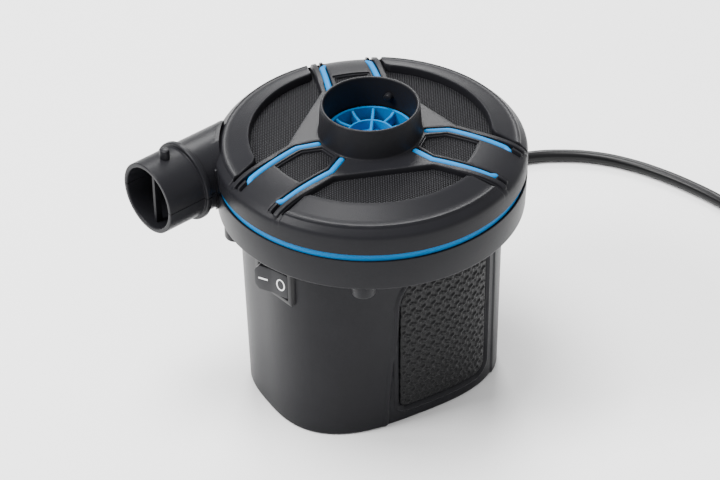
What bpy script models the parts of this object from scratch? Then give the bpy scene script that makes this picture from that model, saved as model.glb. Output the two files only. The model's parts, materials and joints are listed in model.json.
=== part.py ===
"""Mains air pump (inflator and deflator) with a side outlet, modelled as separate parts.

Frame: metres, +Z up.  The origin is the middle of the base underside, on the fan axis.
The outlet tube points along -X.  Sizes below are in millimetres: meshes are made in
millimetres too, and to_metres() scales them all by MM at the end.
"""

import math

import bmesh
import bpy
from mathutils import Matrix, Vector

MM = 0.001
GAP = 0.3

# Fan drum
DRUM_RADIUS = 66.0
DRUM_INNER_RADIUS = 62.4
PARTING_Z = 107.0
PARTING_GAP = 0.15
GROOVE_HALF_HEIGHT = 1.9
GROOVE_RADIUS = 63.0
TRIM_RADIUS = 64.2
RIM_BOTTOM_Z = PARTING_Z - 16.1
FLOOR_THICKNESS = 2.8
COVER_TOP_Z = PARTING_Z + 18.0
CREASE_RADIUS = 62.4
CREASE_Z = PARTING_Z + 13.4
CRESCENT_INNER_RADIUS = 50.5

# Inlet collar
COLLAR_TOP_Z = PARTING_Z + 31.6
COLLAR_RADIUS = 20.9
COLLAR_BASE_RADIUS = 22.1
COLLAR_BORE_RADIUS = 19.5

# The three arms of the cover and the accent strips in them
ARM_ANGLES = (180.0, 300.0, 60.0)
ARM_HALF_WIDTH = 14.6
ARM_SLOT_HALF_WIDTH = 16.0
WEB_DISTANCE = 29.0
STRIP_RADIUS = 1.2
CHANNEL_HALF_WIDTH = 2.1

# Outlet tube
TUBE_Y = 44.1
TUBE_END_X = -84.8
TUBE_RADIUS = 15.9
TUBE_BORE_RADIUS = 13.7
TUBE_RING_RADIUS = 17.5
TUBE_RING_X = (-66.6, -64.0)
TUBE_PIN_X = -74.5
TUBE_PIN_RADIUS = 2.1
TUBE_PIN_HEIGHT = 4.2
GUARD_BAR_X = (-81.2, -78.2)
GUARD_BAR_HALF_WIDTH = 0.75

# Body under the drum: a superellipse in plan, turned a little about the fan axis
BODY_YAW = -10.8
BODY_HALF_LENGTH = 53.5
BODY_HALF_WIDTH = 41.2
BODY_EXPONENT = 2.8
BODY_TOP_Z = RIM_BOTTOM_Z - GAP
BODY_DRAFT = 1.6
BODY_WALL = 2.2
BASE_THICKNESS = 3.0
POST_PLACE = (40.0, 26.5)
CORNERS = ((-1.0, -1.0), (-1.0, 1.0), (1.0, -1.0), (1.0, 1.0))
BASE_SCREW_Z = 0.2
VENT_COUNT = 5
VENT_PITCH = 6.0
VENT_WIDTH = 2.8
VENT_START_X = 10.6
POST_RADIUS = 3.8
UPPER_POST_RADIUS = 5.4

# Screws and their holes
HOLE_RADIUS = 1.6
PILOT_RADIUS = 1.45
SHANK_RADIUS = 1.2
HEAD_RADIUS = 2.9
HEAD_HEIGHT = 1.6
HEAD_SEAT_RADIUS = 3.4
COLUMN_RADIUS = 2.6
SCREW_LENGTH = 14.0
RIM_SCREW_LENGTH = 24.0

# Screw bosses under the rim
BOSS_ANGLES = (159.0, 226.0, 339.0, 46.0)
BOSS_CENTRE_RADIUS = 60.3
BOSS_RADIUS = 5.0
BOSS_DROP = 5.0

# Rocker switch
SWITCH_FACE_X = -56.5
SWITCH_Y = -2.3
SWITCH_Z = 77.2
BEZEL_LENGTH = 23.4
BEZEL_HEIGHT = 17.0
BEZEL_THICKNESS = 3.3
SWITCH_BOX_HALF_LENGTH = 9.6
SWITCH_BOX_HALF_HEIGHT = 6.6
SWITCH_BOX_DEPTH = 16.0
ROCKER_HALF_LENGTH = 8.2
ROCKER_HEIGHT = 12.4
ROCKER_PIVOT_X = -54.6
ROCKER_TILT = 18.0

# Grip pads on the two long sides of the body
PAD_THICKNESS = 1.6
PAD_PROUD = 0.3
PAD_ALONG = (-10.5, 34.5)
PAD_BOTTOM_Z = 8.0
PAD_TOP_Z = 80.0
PAD_SHOULDER = 18.0
PAD_CORNER = 6.0
PAD_SMALL_CORNER = 3.6

# Motor
SHAFT_RADIUS = 3.0
ARMATURE_RADIUS = 13.5
STATOR_BORE_RADIUS = 14.2
CORE_Z = (50.0, 74.0)
COMMUTATOR_Z = (29.0, 40.0)
COMMUTATOR_RADIUS = 9.0
UPPER_BEARING_Z = (82.6, 88.6)
UPPER_BEARING_RADIUS = 9.5
LOWER_BEARING_Z = (19.0, 24.0)
LOWER_BEARING_RADIUS = 8.0
MOTOR_SCREW_Y = 17.0
BRUSH_HOLDER_Z = (30.5, 38.5)
BRUSH_HALF_WIDTH = 2.5
IMPELLER_RADIUS = 46.0
EYE_OUTER_RADIUS = 18.7
EYE_INNER_RADIUS = 17.6
EYE_TOP = 17.6
CAP_LOW = 11.3
CAP_TOP = 16.8
CAP_RADIUS = 14.3
CAP_RING_RADIUS = 9.0
CAP_WALL = 1.4
CAP_SPOKES = 12
CAP_FIRST_SPOKE = 15.0

# Mains cord
CORD_RADIUS = 2.9
CORD_EXIT_ANGLE = 35.0
CORD_EXIT_Z = 14.0
RELIEF_RADIUS = 5.4
RELIEF_START_RADIUS = 39.0
RELIEF_END_RADIUS = 80.0
COIL_CENTRE = (243.0, -66.0)
COIL_MEAN_RADIUS = 33.0
COIL_COLUMNS = 3
COIL_LAYERS = 2
COIL_LIFT = 1.1

LARGE = 54
MEDIUM = 28
SMALL = 12


# ---------------------------------------------------------------- helpers

def clear_scene():
    """Remove every object, so that the script starts from an empty scene."""
    for old in list(bpy.data.objects):
        bpy.data.objects.remove(old, do_unlink=True)


def material(name, colour, roughness, metallic=0.0):
    """Make a Principled material with one colour."""
    made = bpy.data.materials.new(name)
    made.use_nodes = True
    shader = made.node_tree.nodes["Principled BSDF"]
    shader.inputs["Base Color"].default_value = (*colour, 1.0)
    shader.inputs["Roughness"].default_value = roughness
    shader.inputs["Metallic"].default_value = metallic
    return made


def place(name, bm, finish):
    """Turn a bmesh into a smooth-shaded object."""
    bmesh.ops.recalc_face_normals(bm, faces=bm.faces)
    if bm.calc_volume(signed=True) < 0.0:
        bmesh.ops.reverse_faces(bm, faces=bm.faces)
    mesh = bpy.data.meshes.new(name)
    bm.to_mesh(mesh)
    bm.free()
    mesh.shade_smooth()
    mesh.set_sharp_from_angle(angle=math.radians(30.0))
    made = bpy.data.objects.new(name, mesh)
    made.data.materials.append(finish)
    bpy.context.scene.collection.objects.link(made)
    return made


def loft(name, rings, finish, closed=False):
    """Join rings of points; the ends get caps, or meet when closed is set."""
    bm = bmesh.new()
    loops = [[bm.verts.new(point) for point in ring] for ring in rings]
    pairs = list(zip(loops, loops[1:]))
    if closed:
        pairs.append((loops[-1], loops[0]))
    for low, high in pairs:
        count = len(low)
        for index in range(count):
            after = (index + 1) % count
            bm.faces.new((low[index], low[after], high[after], high[index]))
    if not closed:
        bm.faces.new(list(reversed(loops[0])))
        bm.faces.new(loops[-1])
    return place(name, bm, finish)


def turned(name, profile, finish, segments=MEDIUM, centre=(0.0, 0.0)):
    """Turn a closed outline of (radius, z) points, all off the axis, about a vertical axis."""
    rings = []
    for radius, z in profile:
        ring = []
        for index in range(segments):
            angle = math.tau * index / segments
            x = centre[0] + radius * math.cos(angle)
            y = centre[1] + radius * math.sin(angle)
            ring.append((x, y, z))
        rings.append(ring)
    return loft(name, rings, finish, closed=True)


def stack(name, levels, finish, segments=MEDIUM, centre=(0.0, 0.0)):
    """Make a solid round stack from (radius, z) levels, bottom to top.

    Its corners are turned by a part of a step, so that they miss those of a turned part.
    """
    rings = []
    for radius, z in levels:
        ring = []
        for index in range(segments):
            angle = math.tau * (index + 0.37) / segments
            x = centre[0] + radius * math.cos(angle)
            y = centre[1] + radius * math.sin(angle)
            ring.append((x, y, z))
        rings.append(ring)
    return loft(name, rings, finish)


def turn_to(made, start, direction):
    """Move an object built along +Z from the origin so that it runs along a direction."""
    rotation = Vector((0.0, 0.0, 1.0)).rotation_difference(Vector(direction)).to_matrix().to_4x4()
    made.data.transform(Matrix.Translation(start) @ rotation)
    return made


def rod(name, start, end, radius, finish, segments=SMALL, end_radius=None):
    """Make a round rod or cone between two points."""
    direction = Vector(end) - Vector(start)
    tip = radius if end_radius is None else end_radius
    made = stack(name, ((radius, 0.0), (tip, direction.length)), finish, segments)
    return turn_to(made, start, direction)


def prism(name, outline, low, high, finish):
    """Extrude a plan outline from one height to another."""
    rings = [[(x, y, z) for x, y in outline] for z in (low, high)]
    return loft(name, rings, finish)


def block(name, low, high, finish):
    """Make a box from its lowest and highest corners."""
    outline = ((low[0], low[1]), (high[0], low[1]), (high[0], high[1]), (low[0], high[1]))
    return prism(name, outline, low[2], high[2], finish)


def combine(target, tool, operation):
    """Apply a Boolean with a tool object, then remove the tool."""
    modifier = target.modifiers.new(operation.lower(), "BOOLEAN")
    modifier.operation = operation
    modifier.solver = "EXACT"
    modifier.object = tool
    depsgraph = bpy.context.evaluated_depsgraph_get()
    mesh = bpy.data.meshes.new_from_object(target.evaluated_get(depsgraph))
    target.modifiers.clear()
    target.data = mesh
    bpy.data.objects.remove(tool, do_unlink=True)
    mesh.shade_smooth()
    mesh.set_sharp_from_angle(angle=math.radians(30.0))
    return target


def fuse(target, *tools):
    """Join tools to a target."""
    for tool in tools:
        combine(target, tool, "UNION")
    return target


def cut(target, *tools):
    """Cut tools out of a target."""
    for tool in tools:
        combine(target, tool, "DIFFERENCE")
    return target


def spin(made, degrees):
    """Turn an object's mesh about the vertical axis through the origin."""
    made.data.transform(Matrix.Rotation(math.radians(degrees), 4, "Z"))
    return made


def polar(radius, degrees):
    """Return the plan point at a radius and an angle."""
    angle = math.radians(degrees)
    return radius * math.cos(angle), radius * math.sin(angle)


def smooth_route(points, step):
    """Read points about a step apart from a smooth curve through a route's own points."""
    knots = [Vector(point) for point in points]
    padded = [knots[0] * 2.0 - knots[1], *knots, knots[-1] * 2.0 - knots[-2]]
    route = []
    for before, start, end, after in zip(padded, padded[1:], padded[2:], padded[3:]):
        parts = max(1, round((end - start).length / step))
        for part in range(parts):
            t = part / parts
            route.append(0.5 * (
                2.0 * start
                + (end - before) * t
                + (2.0 * before - 5.0 * start + 4.0 * end - after) * t ** 2
                + (3.0 * start - before - 3.0 * end + after) * t ** 3
            ))
    route.append(knots[-1])
    return route


def tube_along(name, points, radius, finish, resolution=2):
    """Make a round tube with closed ends along a list of points."""
    curve = bpy.data.curves.new(name, "CURVE")
    curve.dimensions = "3D"
    curve.bevel_depth = radius * MM
    curve.bevel_resolution = resolution
    curve.resolution_u = 1
    curve.render_resolution_u = 0
    curve.use_fill_caps = True
    spline = curve.splines.new("POLY")
    spline.points.add(len(points) - 1)
    for knot, point in zip(spline.points, points):
        knot.co = (*(Vector(point) * MM), 1.0)
    made = bpy.data.objects.new(name, curve)
    curve.materials.append(finish)
    bpy.context.scene.collection.objects.link(made)
    return made


def to_metres():
    """Scale every mesh and its place from millimetres to metres."""
    for made in bpy.context.scene.objects:
        if made.type == "MESH":
            made.data.transform(Matrix.Scale(MM, 4))
            made.location *= MM


# ---------------------------------------------------------------- materials

BLACK_PLASTIC = material("black_plastic", (0.018, 0.018, 0.020), 0.45)
DARK_PLASTIC = material("dark_plastic", (0.030, 0.030, 0.033), 0.50)
BLUE_PLASTIC = material("blue_plastic", (0.020, 0.230, 0.520), 0.35)
RUBBER = material("rubber", (0.012, 0.012, 0.013), 0.80)
CORD_PVC = material("cord_pvc", (0.010, 0.010, 0.011), 0.35)
STEEL = material("steel", (0.55, 0.55, 0.56), 0.30, 1.0)
LAMINATION = material("lamination", (0.30, 0.30, 0.32), 0.55, 0.9)
COPPER = material("copper", (0.60, 0.24, 0.10), 0.35, 1.0)
BRASS = material("brass", (0.70, 0.52, 0.22), 0.30, 1.0)
CARBON = material("carbon", (0.03, 0.03, 0.03), 0.60)


# ---------------------------------------------------------------- cover

def strip_route():
    """Route of one accent strip in its arm's frame: along, across, height."""
    heights = ((22.6, 7.5, 16.5), (30.9, 11.2, 16.4), (44.0, 10.9, 15.7), (55.6, 10.6, 14.3))
    hook = ((57.4, 9.6, 13.9),)
    return [(along, across, PARTING_Z + z) for along, across, z in (*heights, *hook)]


def strip_points(angle, side):
    """Route of an accent strip on the cover."""
    turn = Matrix.Rotation(math.radians(angle), 3, "Z")
    return [turn @ Vector((along, side * across, z)) for along, across, z in strip_route()]


def channel(angle, side):
    """Cutter for the channel that an accent strip lies in."""
    route = [Vector((along, side * across, z)) for along, across, z in strip_route()]
    first = route[0] + (route[0] - route[1]).normalized() * 1.4
    last = route[-1] + (route[-1] - route[-2]).normalized() * 1.6
    route = [first, *route[1:-1], last]
    rings = []
    for index, point in enumerate(route):
        before = route[max(index - 1, 0)]
        after = route[min(index + 1, len(route) - 1)]
        heading = (after - before).normalized()
        across = Vector((-heading.y, heading.x, 0.0)).normalized() * CHANNEL_HALF_WIDTH
        low = point.z - STRIP_RADIUS - GAP
        high = COVER_TOP_Z + 3.0
        left = point + across
        right = point - across
        rings.append([
            (left.x, left.y, low), (right.x, right.y, low),
            (right.x, right.y, high), (left.x, left.y, high),
        ])
    made = loft("channel", rings, BLACK_PLASTIC)
    return spin(made, angle)


def arm(angle):
    """Raised arm of the cover, an outline along the arm pulled out across it."""
    top = PARTING_Z
    outline = (
        (19.9, 18.1), (34.0, 17.8), (46.0, 17.1), (55.0, 15.9), (60.0, 14.2),
        (62.6, 12.2), (62.6, 9.4), (50.0, 12.2), (19.9, 14.0),
    )
    rings = [
        [(along, across, top + z) for along, z in outline]
        for across in (-ARM_HALF_WIDTH, ARM_HALF_WIDTH)
    ]
    return spin(loft("arm", rings, BLACK_PLASTIC), angle)


def web():
    """Triangular web around the collar, between the arms."""
    corner = 2.0 * WEB_DISTANCE
    outline = [polar(corner, angle) for angle in ARM_ANGLES]
    middle = prism("web", outline, PARTING_Z + 13.6, COVER_TOP_Z, BLACK_PLASTIC)
    limit = turned("limit", (
        (40.0, COVER_TOP_Z + 4.0), (40.0, PARTING_Z + 10.0),
        (70.0, PARTING_Z + 10.0), (70.0, COVER_TOP_Z + 4.0),
    ), BLACK_PLASTIC, 24)
    return cut(middle, limit)


def crescents():
    """Three raised crescents on the outside of the cover."""
    z = PARTING_Z
    ring = turned("crescents", (
        (CRESCENT_INNER_RADIUS, z + 12.0), (CRESCENT_INNER_RADIUS, COVER_TOP_Z - 0.1),
        (CREASE_RADIUS, CREASE_Z), (64.7, z + 11.6), (64.7, z + 9.6), (60.6, z + 9.2),
    ), BLACK_PLASTIC, LARGE)
    for angle in ARM_ANGLES:
        slot = block(
            "slot", (30.0, -ARM_SLOT_HALF_WIDTH, z + 5.0),
            (80.0, ARM_SLOT_HALF_WIDTH, z + 25.0), BLACK_PLASTIC,
        )
        cut(ring, spin(slot, angle))
    return ring


def outlet_tube(low, high):
    """Half of the outlet tube, with its stop ring, between two heights."""
    y = TUBE_Y
    z = PARTING_Z
    tube = rod("tube", (TUBE_END_X, y, z), (-38.0, y, z), TUBE_RADIUS, BLACK_PLASTIC, MEDIUM)
    ring = rod(
        "ring", (TUBE_RING_X[0], y, z), (TUBE_RING_X[1], y, z),
        TUBE_RING_RADIUS, BLACK_PLASTIC, MEDIUM,
    )
    fuse(tube, ring)
    half = block("half", (-100.0, -10.0, low), (0.0, 90.0, high), BLACK_PLASTIC)
    combine(tube, half, "INTERSECT")
    chamber = stack(
        "chamber", ((DRUM_INNER_RADIUS + 1.0, z - 40.0), (DRUM_INNER_RADIUS + 1.0, z + 40.0)),
        BLACK_PLASTIC, LARGE,
    )
    return cut(tube, chamber)


def outlet_bore():
    """Cutter for the bore of the outlet tube, through the drum wall into the fan chamber."""
    return rod(
        "bore", (TUBE_END_X - 5.0, TUBE_Y, PARTING_Z), (-26.0, TUBE_Y, PARTING_Z),
        TUBE_BORE_RADIUS, BLACK_PLASTIC, MEDIUM,
    )


def top_cover():
    """Upper half of the drum with the inlet collar, the arms and half of the outlet tube."""
    z = PARTING_Z
    cover = turned("top_cover", (
        (DRUM_INNER_RADIUS, z + PARTING_GAP), (GROOVE_RADIUS, z + PARTING_GAP),
        (GROOVE_RADIUS, z + GROOVE_HALF_HEIGHT), (DRUM_RADIUS, z + GROOVE_HALF_HEIGHT),
        (DRUM_RADIUS, z + 8.8), (64.9, z + 11.2), (62.3, z + 12.9), (58.4, z + 13.8),
        (48.6, z + 14.7), (38.0, z + 14.9), (24.0, z + 15.1),
        (COLLAR_BASE_RADIUS, z + 15.6), (COLLAR_BASE_RADIUS, z + 18.4),
        (COLLAR_RADIUS, COLLAR_TOP_Z - 0.4), (COLLAR_RADIUS - 0.3, COLLAR_TOP_Z),
        (COLLAR_BORE_RADIUS + 0.2, COLLAR_TOP_Z), (COLLAR_BORE_RADIUS, COLLAR_TOP_Z - 0.4),
        (COLLAR_BORE_RADIUS - 0.1, z + 13.4), (24.0, z + 12.4), (46.0, z + 10.9),
        (58.0, z + 10.2), (DRUM_INNER_RADIUS - 0.4, z + 6.0),
    ), BLACK_PLASTIC, LARGE)
    fuse(cover, web(), crescents())
    for angle in ARM_ANGLES:
        fuse(cover, arm(angle))
    bore = stack(
        "collar_bore",
        ((COLLAR_BORE_RADIUS, z + 8.0), (COLLAR_BORE_RADIUS, COLLAR_TOP_Z + 5.0)),
        BLACK_PLASTIC, LARGE,
    )
    cut(cover, bore)
    fuse(cover, outlet_tube(z + PARTING_GAP, z + 30.0))
    cut(cover, outlet_bore())
    for angle in ARM_ANGLES:
        cut(cover, channel(angle, 1.0), channel(angle, -1.0))
    outer_pin = rod(
        "outer_pin", (TUBE_PIN_X, TUBE_Y, z + TUBE_RADIUS - 1.0),
        (TUBE_PIN_X, TUBE_Y, z + TUBE_RADIUS + TUBE_PIN_HEIGHT), TUBE_PIN_RADIUS, BLACK_PLASTIC,
    )
    start = (*polar(COLLAR_BORE_RADIUS + 0.6, 25.0), COLLAR_TOP_Z - 8.5)
    end = (*polar(COLLAR_BORE_RADIUS - 2.4, 25.0), COLLAR_TOP_Z - 8.5)
    inner_pin = rod("inner_pin", start, end, 1.7, BLACK_PLASTIC)
    fuse(cover, outer_pin, inner_pin)
    for angle in BOSS_ANGLES:
        column = stack(
            "column", ((COLUMN_RADIUS, z + 0.4), (COLUMN_RADIUS, z + 9.0)),
            BLACK_PLASTIC, SMALL, polar(BOSS_CENTRE_RADIUS, angle),
        )
        pilot = stack(
            "pilot", ((PILOT_RADIUS, z - 3.0), (PILOT_RADIUS, z + 7.0)),
            BLACK_PLASTIC, SMALL, polar(BOSS_CENTRE_RADIUS, angle),
        )
        fuse(cover, column)
        cut(cover, pilot)
    return cover


def accent_strips():
    """Six blue strips lying in the channels beside the arms."""
    for arm_name, angle in zip("abc", ARM_ANGLES):
        for side_name, side in (("left", -1.0), ("right", 1.0)):
            points = strip_points(angle, side)
            tube_along(f"accent_strip_{arm_name}_{side_name}", points, STRIP_RADIUS, BLUE_PLASTIC)


def trim_ring():
    """Blue ring in the groove between the cover and the lower housing, open at the tube."""
    z = PARTING_Z
    half = GROOVE_HALF_HEIGHT - GAP
    ring = turned("trim_ring", (
        (GROOVE_RADIUS + GAP, z - half), (GROOVE_RADIUS + GAP, z + half),
        (TRIM_RADIUS, z + half), (TRIM_RADIUS, z - half),
    ), BLUE_PLASTIC, LARGE)
    gap = block(
        "gap", (-80.0, TUBE_Y - TUBE_RADIUS - GAP, z - 10.0),
        (-20.0, TUBE_Y + TUBE_RADIUS + GAP, z + 10.0), BLUE_PLASTIC,
    )
    return cut(ring, gap)


# ---------------------------------------------------------------- lower housing

def screw_hole(centre, low, high):
    """Cutter for a screw's clearance hole."""
    return stack("hole", ((HOLE_RADIUS, low), (HOLE_RADIUS, high)), BLACK_PLASTIC, SMALL, centre)


def screw_boss(centre):
    """Short boss under the rim, cut back where the body stands."""
    boss = stack(
        "boss", ((BOSS_RADIUS, RIM_BOTTOM_Z - BOSS_DROP), (BOSS_RADIUS, RIM_BOTTOM_Z + 1.0)),
        BLACK_PLASTIC, 24, centre,
    )
    body = loft("keep_clear", body_rings(RIM_BOTTOM_Z - 20.0, BODY_TOP_Z, -GAP), BLACK_PLASTIC)
    return cut(boss, spin(body, BODY_YAW))


def lower_housing():
    """Lower half of the drum: rim, floor, screw bosses and the lower half of the outlet tube."""
    z = PARTING_Z
    floor = RIM_BOTTOM_Z + FLOOR_THICKNESS
    housing = turned("lower_housing", (
        (GROOVE_RADIUS, z - PARTING_GAP), (DRUM_INNER_RADIUS, z - PARTING_GAP),
        (DRUM_INNER_RADIUS, floor + 2.0), (60.4, floor), (8.0, floor), (8.0, RIM_BOTTOM_Z),
        (64.3, RIM_BOTTOM_Z), (65.5, RIM_BOTTOM_Z + 1.4),
        (DRUM_RADIUS, z - GROOVE_HALF_HEIGHT), (GROOVE_RADIUS, z - GROOVE_HALF_HEIGHT),
    ), BLACK_PLASTIC, LARGE)
    fuse(housing, outlet_tube(z - 30.0, z - PARTING_GAP))
    cut(housing, outlet_bore())
    bar = block(
        "guard_bar",
        (GUARD_BAR_X[0], TUBE_Y - GUARD_BAR_HALF_WIDTH, z - TUBE_BORE_RADIUS - 1.0),
        (GUARD_BAR_X[1], TUBE_Y + GUARD_BAR_HALF_WIDTH, z + TUBE_BORE_RADIUS - 0.6), BLACK_PLASTIC,
    )
    fuse(housing, bar)
    for angle in BOSS_ANGLES:
        centre = polar(BOSS_CENTRE_RADIUS, angle)
        column = stack(
            "column", ((COLUMN_RADIUS, floor - 1.0), (COLUMN_RADIUS, z - 0.4)),
            BLACK_PLASTIC, SMALL, centre,
        )
        fuse(housing, column, screw_boss(centre))
        seat = stack(
            "seat", ((HEAD_SEAT_RADIUS, RIM_BOTTOM_Z - 9.0), (HEAD_SEAT_RADIUS, RIM_BOTTOM_Z - 2.2)),
            BLACK_PLASTIC, SMALL, centre,
        )
        cut(housing, screw_hole(centre, RIM_BOTTOM_Z - 9.0, z + 1.0), seat)
    floor_holes = [post_centre(*corner) for corner in CORNERS]
    floor_holes += [(0.0, MOTOR_SCREW_Y), (0.0, -MOTOR_SCREW_Y)]
    for centre in floor_holes:
        cut(housing, screw_hole(centre, RIM_BOTTOM_Z - 2.0, floor + 2.0))
    return housing


# ---------------------------------------------------------------- body

def body_rings(low, high, inset, count=44):
    """Rings of the body's plan at two heights, inset from its outer face."""
    rings = []
    for z in (low, high):
        grow = BODY_DRAFT * z / BODY_TOP_Z - inset
        half_length = BODY_HALF_LENGTH + grow
        half_width = BODY_HALF_WIDTH + grow
        ring = []
        for index in range(count):
            angle = math.tau * index / count
            cosine = math.cos(angle)
            sine = math.sin(angle)
            power = 2.0 / BODY_EXPONENT
            x = half_length * math.copysign(abs(cosine) ** power, cosine)
            y = half_width * math.copysign(abs(sine) ** power, sine)
            ring.append((x, y, z))
        rings.append(ring)
    return rings


def post_centre(side_x, side_y):
    """Plan point of a screw post in a corner of the body."""
    yaw = math.radians(BODY_YAW)
    x = side_x * POST_PLACE[0]
    y = side_y * POST_PLACE[1]
    return x * math.cos(yaw) - y * math.sin(yaw), x * math.sin(yaw) + y * math.cos(yaw)


def pad_outline(side, grow=0.0):
    """Outline of a grip pad in the body's frame: along the side and height."""
    left = PAD_ALONG[0] - grow
    right = PAD_ALONG[1] + grow
    low = PAD_BOTTOM_Z - grow
    high = PAD_TOP_Z + grow
    corner = PAD_CORNER + grow
    small = PAD_SMALL_CORNER + grow
    shoulder = PAD_SHOULDER + grow
    steps = 4
    points = []
    corners = (
        (right - corner, low + corner, corner, -90.0),
        (right - corner, high - corner, corner, 0.0),
        (left + shoulder, high - shoulder, shoulder, 90.0),
        (left + small, low + small, small, 180.0),
    )
    for centre_x, centre_z, radius, start in corners:
        for step in range(steps + 1):
            angle = math.radians(start + 90.0 * step / steps)
            points.append((
                side * (centre_x + radius * math.cos(angle)),
                centre_z + radius * math.sin(angle),
            ))
    return points


def pad_block(side, grow, depth_low, depth_high):
    """Part of the body's side between two depths, inside the pad's outline."""
    outer = loft("pad", body_rings(-5.0, 100.0, -depth_high), RUBBER)
    inner = loft("inner", body_rings(-8.0, 103.0, -depth_low), RUBBER)
    cut(outer, inner)
    rings = [
        [(x, y, z) for x, z in pad_outline(side, grow)]
        for y in (-side * 20.0, -side * 70.0)
    ]
    window = loft("window", rings, RUBBER)
    return spin(combine(outer, window, "INTERSECT"), BODY_YAW)


def body_shell():
    """Motor body under the drum, open at both ends, with posts, recesses and openings."""
    body = loft("body_shell", body_rings(0.0, BODY_TOP_Z, 0.0), BLACK_PLASTIC)
    inside = loft("inside", body_rings(-2.0, BODY_TOP_Z + 2.0, BODY_WALL), BLACK_PLASTIC)
    cut(body, inside)
    spin(body, BODY_YAW)
    for side in (1.0, -1.0):
        lining = pad_block(side, 2.2, -PAD_THICKNESS - GAP - 2.0, -0.8)
        fuse(body, lining)
        cut(body, pad_block(side, GAP, -PAD_THICKNESS - GAP, 3.0))
    for corner in CORNERS:
        centre = post_centre(*corner)
        for radius, low, high in (
            (POST_RADIUS, BASE_THICKNESS + GAP, 22.0), (UPPER_POST_RADIUS, 74.0, BODY_TOP_Z),
        ):
            fuse(body, stack("post", ((radius, low), (radius, high)), BLACK_PLASTIC, SMALL, centre))
        for low, high in ((-1.0, 17.0), (79.0, BODY_TOP_Z + 1.0)):
            pilot = stack(
                "pilot", ((PILOT_RADIUS, low), (PILOT_RADIUS, high)), BLACK_PLASTIC, SMALL, centre,
            )
            cut(body, pilot)
    cut(body, switch_opening(), cord_opening())
    return body


def switch_opening():
    """Cutter for the switch's seat and the hole behind it."""
    half_y = BEZEL_LENGTH / 2.0 + GAP
    half_z = BEZEL_HEIGHT / 2.0 + GAP
    box_y = SWITCH_BOX_HALF_LENGTH + GAP
    box_z = SWITCH_BOX_HALF_HEIGHT + GAP
    seat = block(
        "seat", (SWITCH_FACE_X - 5.0, SWITCH_Y - half_y, SWITCH_Z - half_z),
        (SWITCH_FACE_X + BEZEL_THICKNESS + GAP, SWITCH_Y + half_y, SWITCH_Z + half_z), BLACK_PLASTIC,
    )
    hole = block(
        "hole", (SWITCH_FACE_X, SWITCH_Y - box_y, SWITCH_Z - box_z),
        (SWITCH_FACE_X + 20.0, SWITCH_Y + box_y, SWITCH_Z + box_z), BLACK_PLASTIC,
    )
    return fuse(seat, hole)


def cord_opening():
    """Cutter for the strain relief's hole in the body wall."""
    start = (*polar(40.0, CORD_EXIT_ANGLE), CORD_EXIT_Z)
    end = (*polar(60.0, CORD_EXIT_ANGLE), CORD_EXIT_Z)
    return rod("cord_hole", start, end, RELIEF_RADIUS + 0.2 + GAP, BLACK_PLASTIC, 24)


def base_plate():
    """Plate that closes the body from below, with vent slots and screw holes."""
    plate = loft(
        "base_plate", body_rings(0.0, BASE_THICKNESS, BODY_WALL + GAP), BLACK_PLASTIC,
    )
    for index in range(VENT_COUNT):
        x = VENT_START_X + index * VENT_PITCH
        slot = block("slot", (x, -16.0, -2.0), (x + VENT_WIDTH, 16.0, 6.0), BLACK_PLASTIC)
        cut(plate, slot)
    spin(plate, BODY_YAW)
    for corner in CORNERS:
        centre = post_centre(*corner)
        seat = stack(
            "seat", ((HEAD_SEAT_RADIUS, -2.0), (HEAD_SEAT_RADIUS, BASE_SCREW_Z + HEAD_HEIGHT + GAP)),
            BLACK_PLASTIC, SMALL, centre,
        )
        cut(plate, screw_hole(centre, -2.0, 6.0), seat)
    return plate


def screw(name, centre, head_z, length, upward=True):
    """Pan-head screw; the head sits at head_z and the shank runs up or down from it."""
    sign = 1.0 if upward else -1.0
    levels = (
        (HEAD_RADIUS, 0.0), (HEAD_RADIUS, HEAD_HEIGHT), (SHANK_RADIUS, HEAD_HEIGHT),
        (SHANK_RADIUS, length),
    )
    rings = [(radius, head_z + sign * z) for radius, z in levels]
    return stack(name, rings, STEEL, SMALL, centre)


def screws():
    """All screws of the housings."""
    for number, angle in enumerate(BOSS_ANGLES, 1):
        centre = polar(BOSS_CENTRE_RADIUS, angle)
        screw(f"rim_screw_{number}", centre, RIM_BOTTOM_Z - 4.2, RIM_SCREW_LENGTH)
    top = RIM_BOTTOM_Z + FLOOR_THICKNESS + HEAD_HEIGHT + GAP
    for number, corner in enumerate(CORNERS, 1):
        screw(f"base_screw_{number}", post_centre(*corner), BASE_SCREW_Z, SCREW_LENGTH)
        screw(f"housing_screw_{number}", post_centre(*corner), top, SCREW_LENGTH, False)


def grip_pads():
    """Rubber grip pads in the two long sides."""
    for name, side in (("grip_pad_right", 1.0), ("grip_pad_left", -1.0)):
        pad = pad_block(side, 0.0, -PAD_THICKNESS, PAD_PROUD)
        pad.name = name


# ---------------------------------------------------------------- switch

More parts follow.
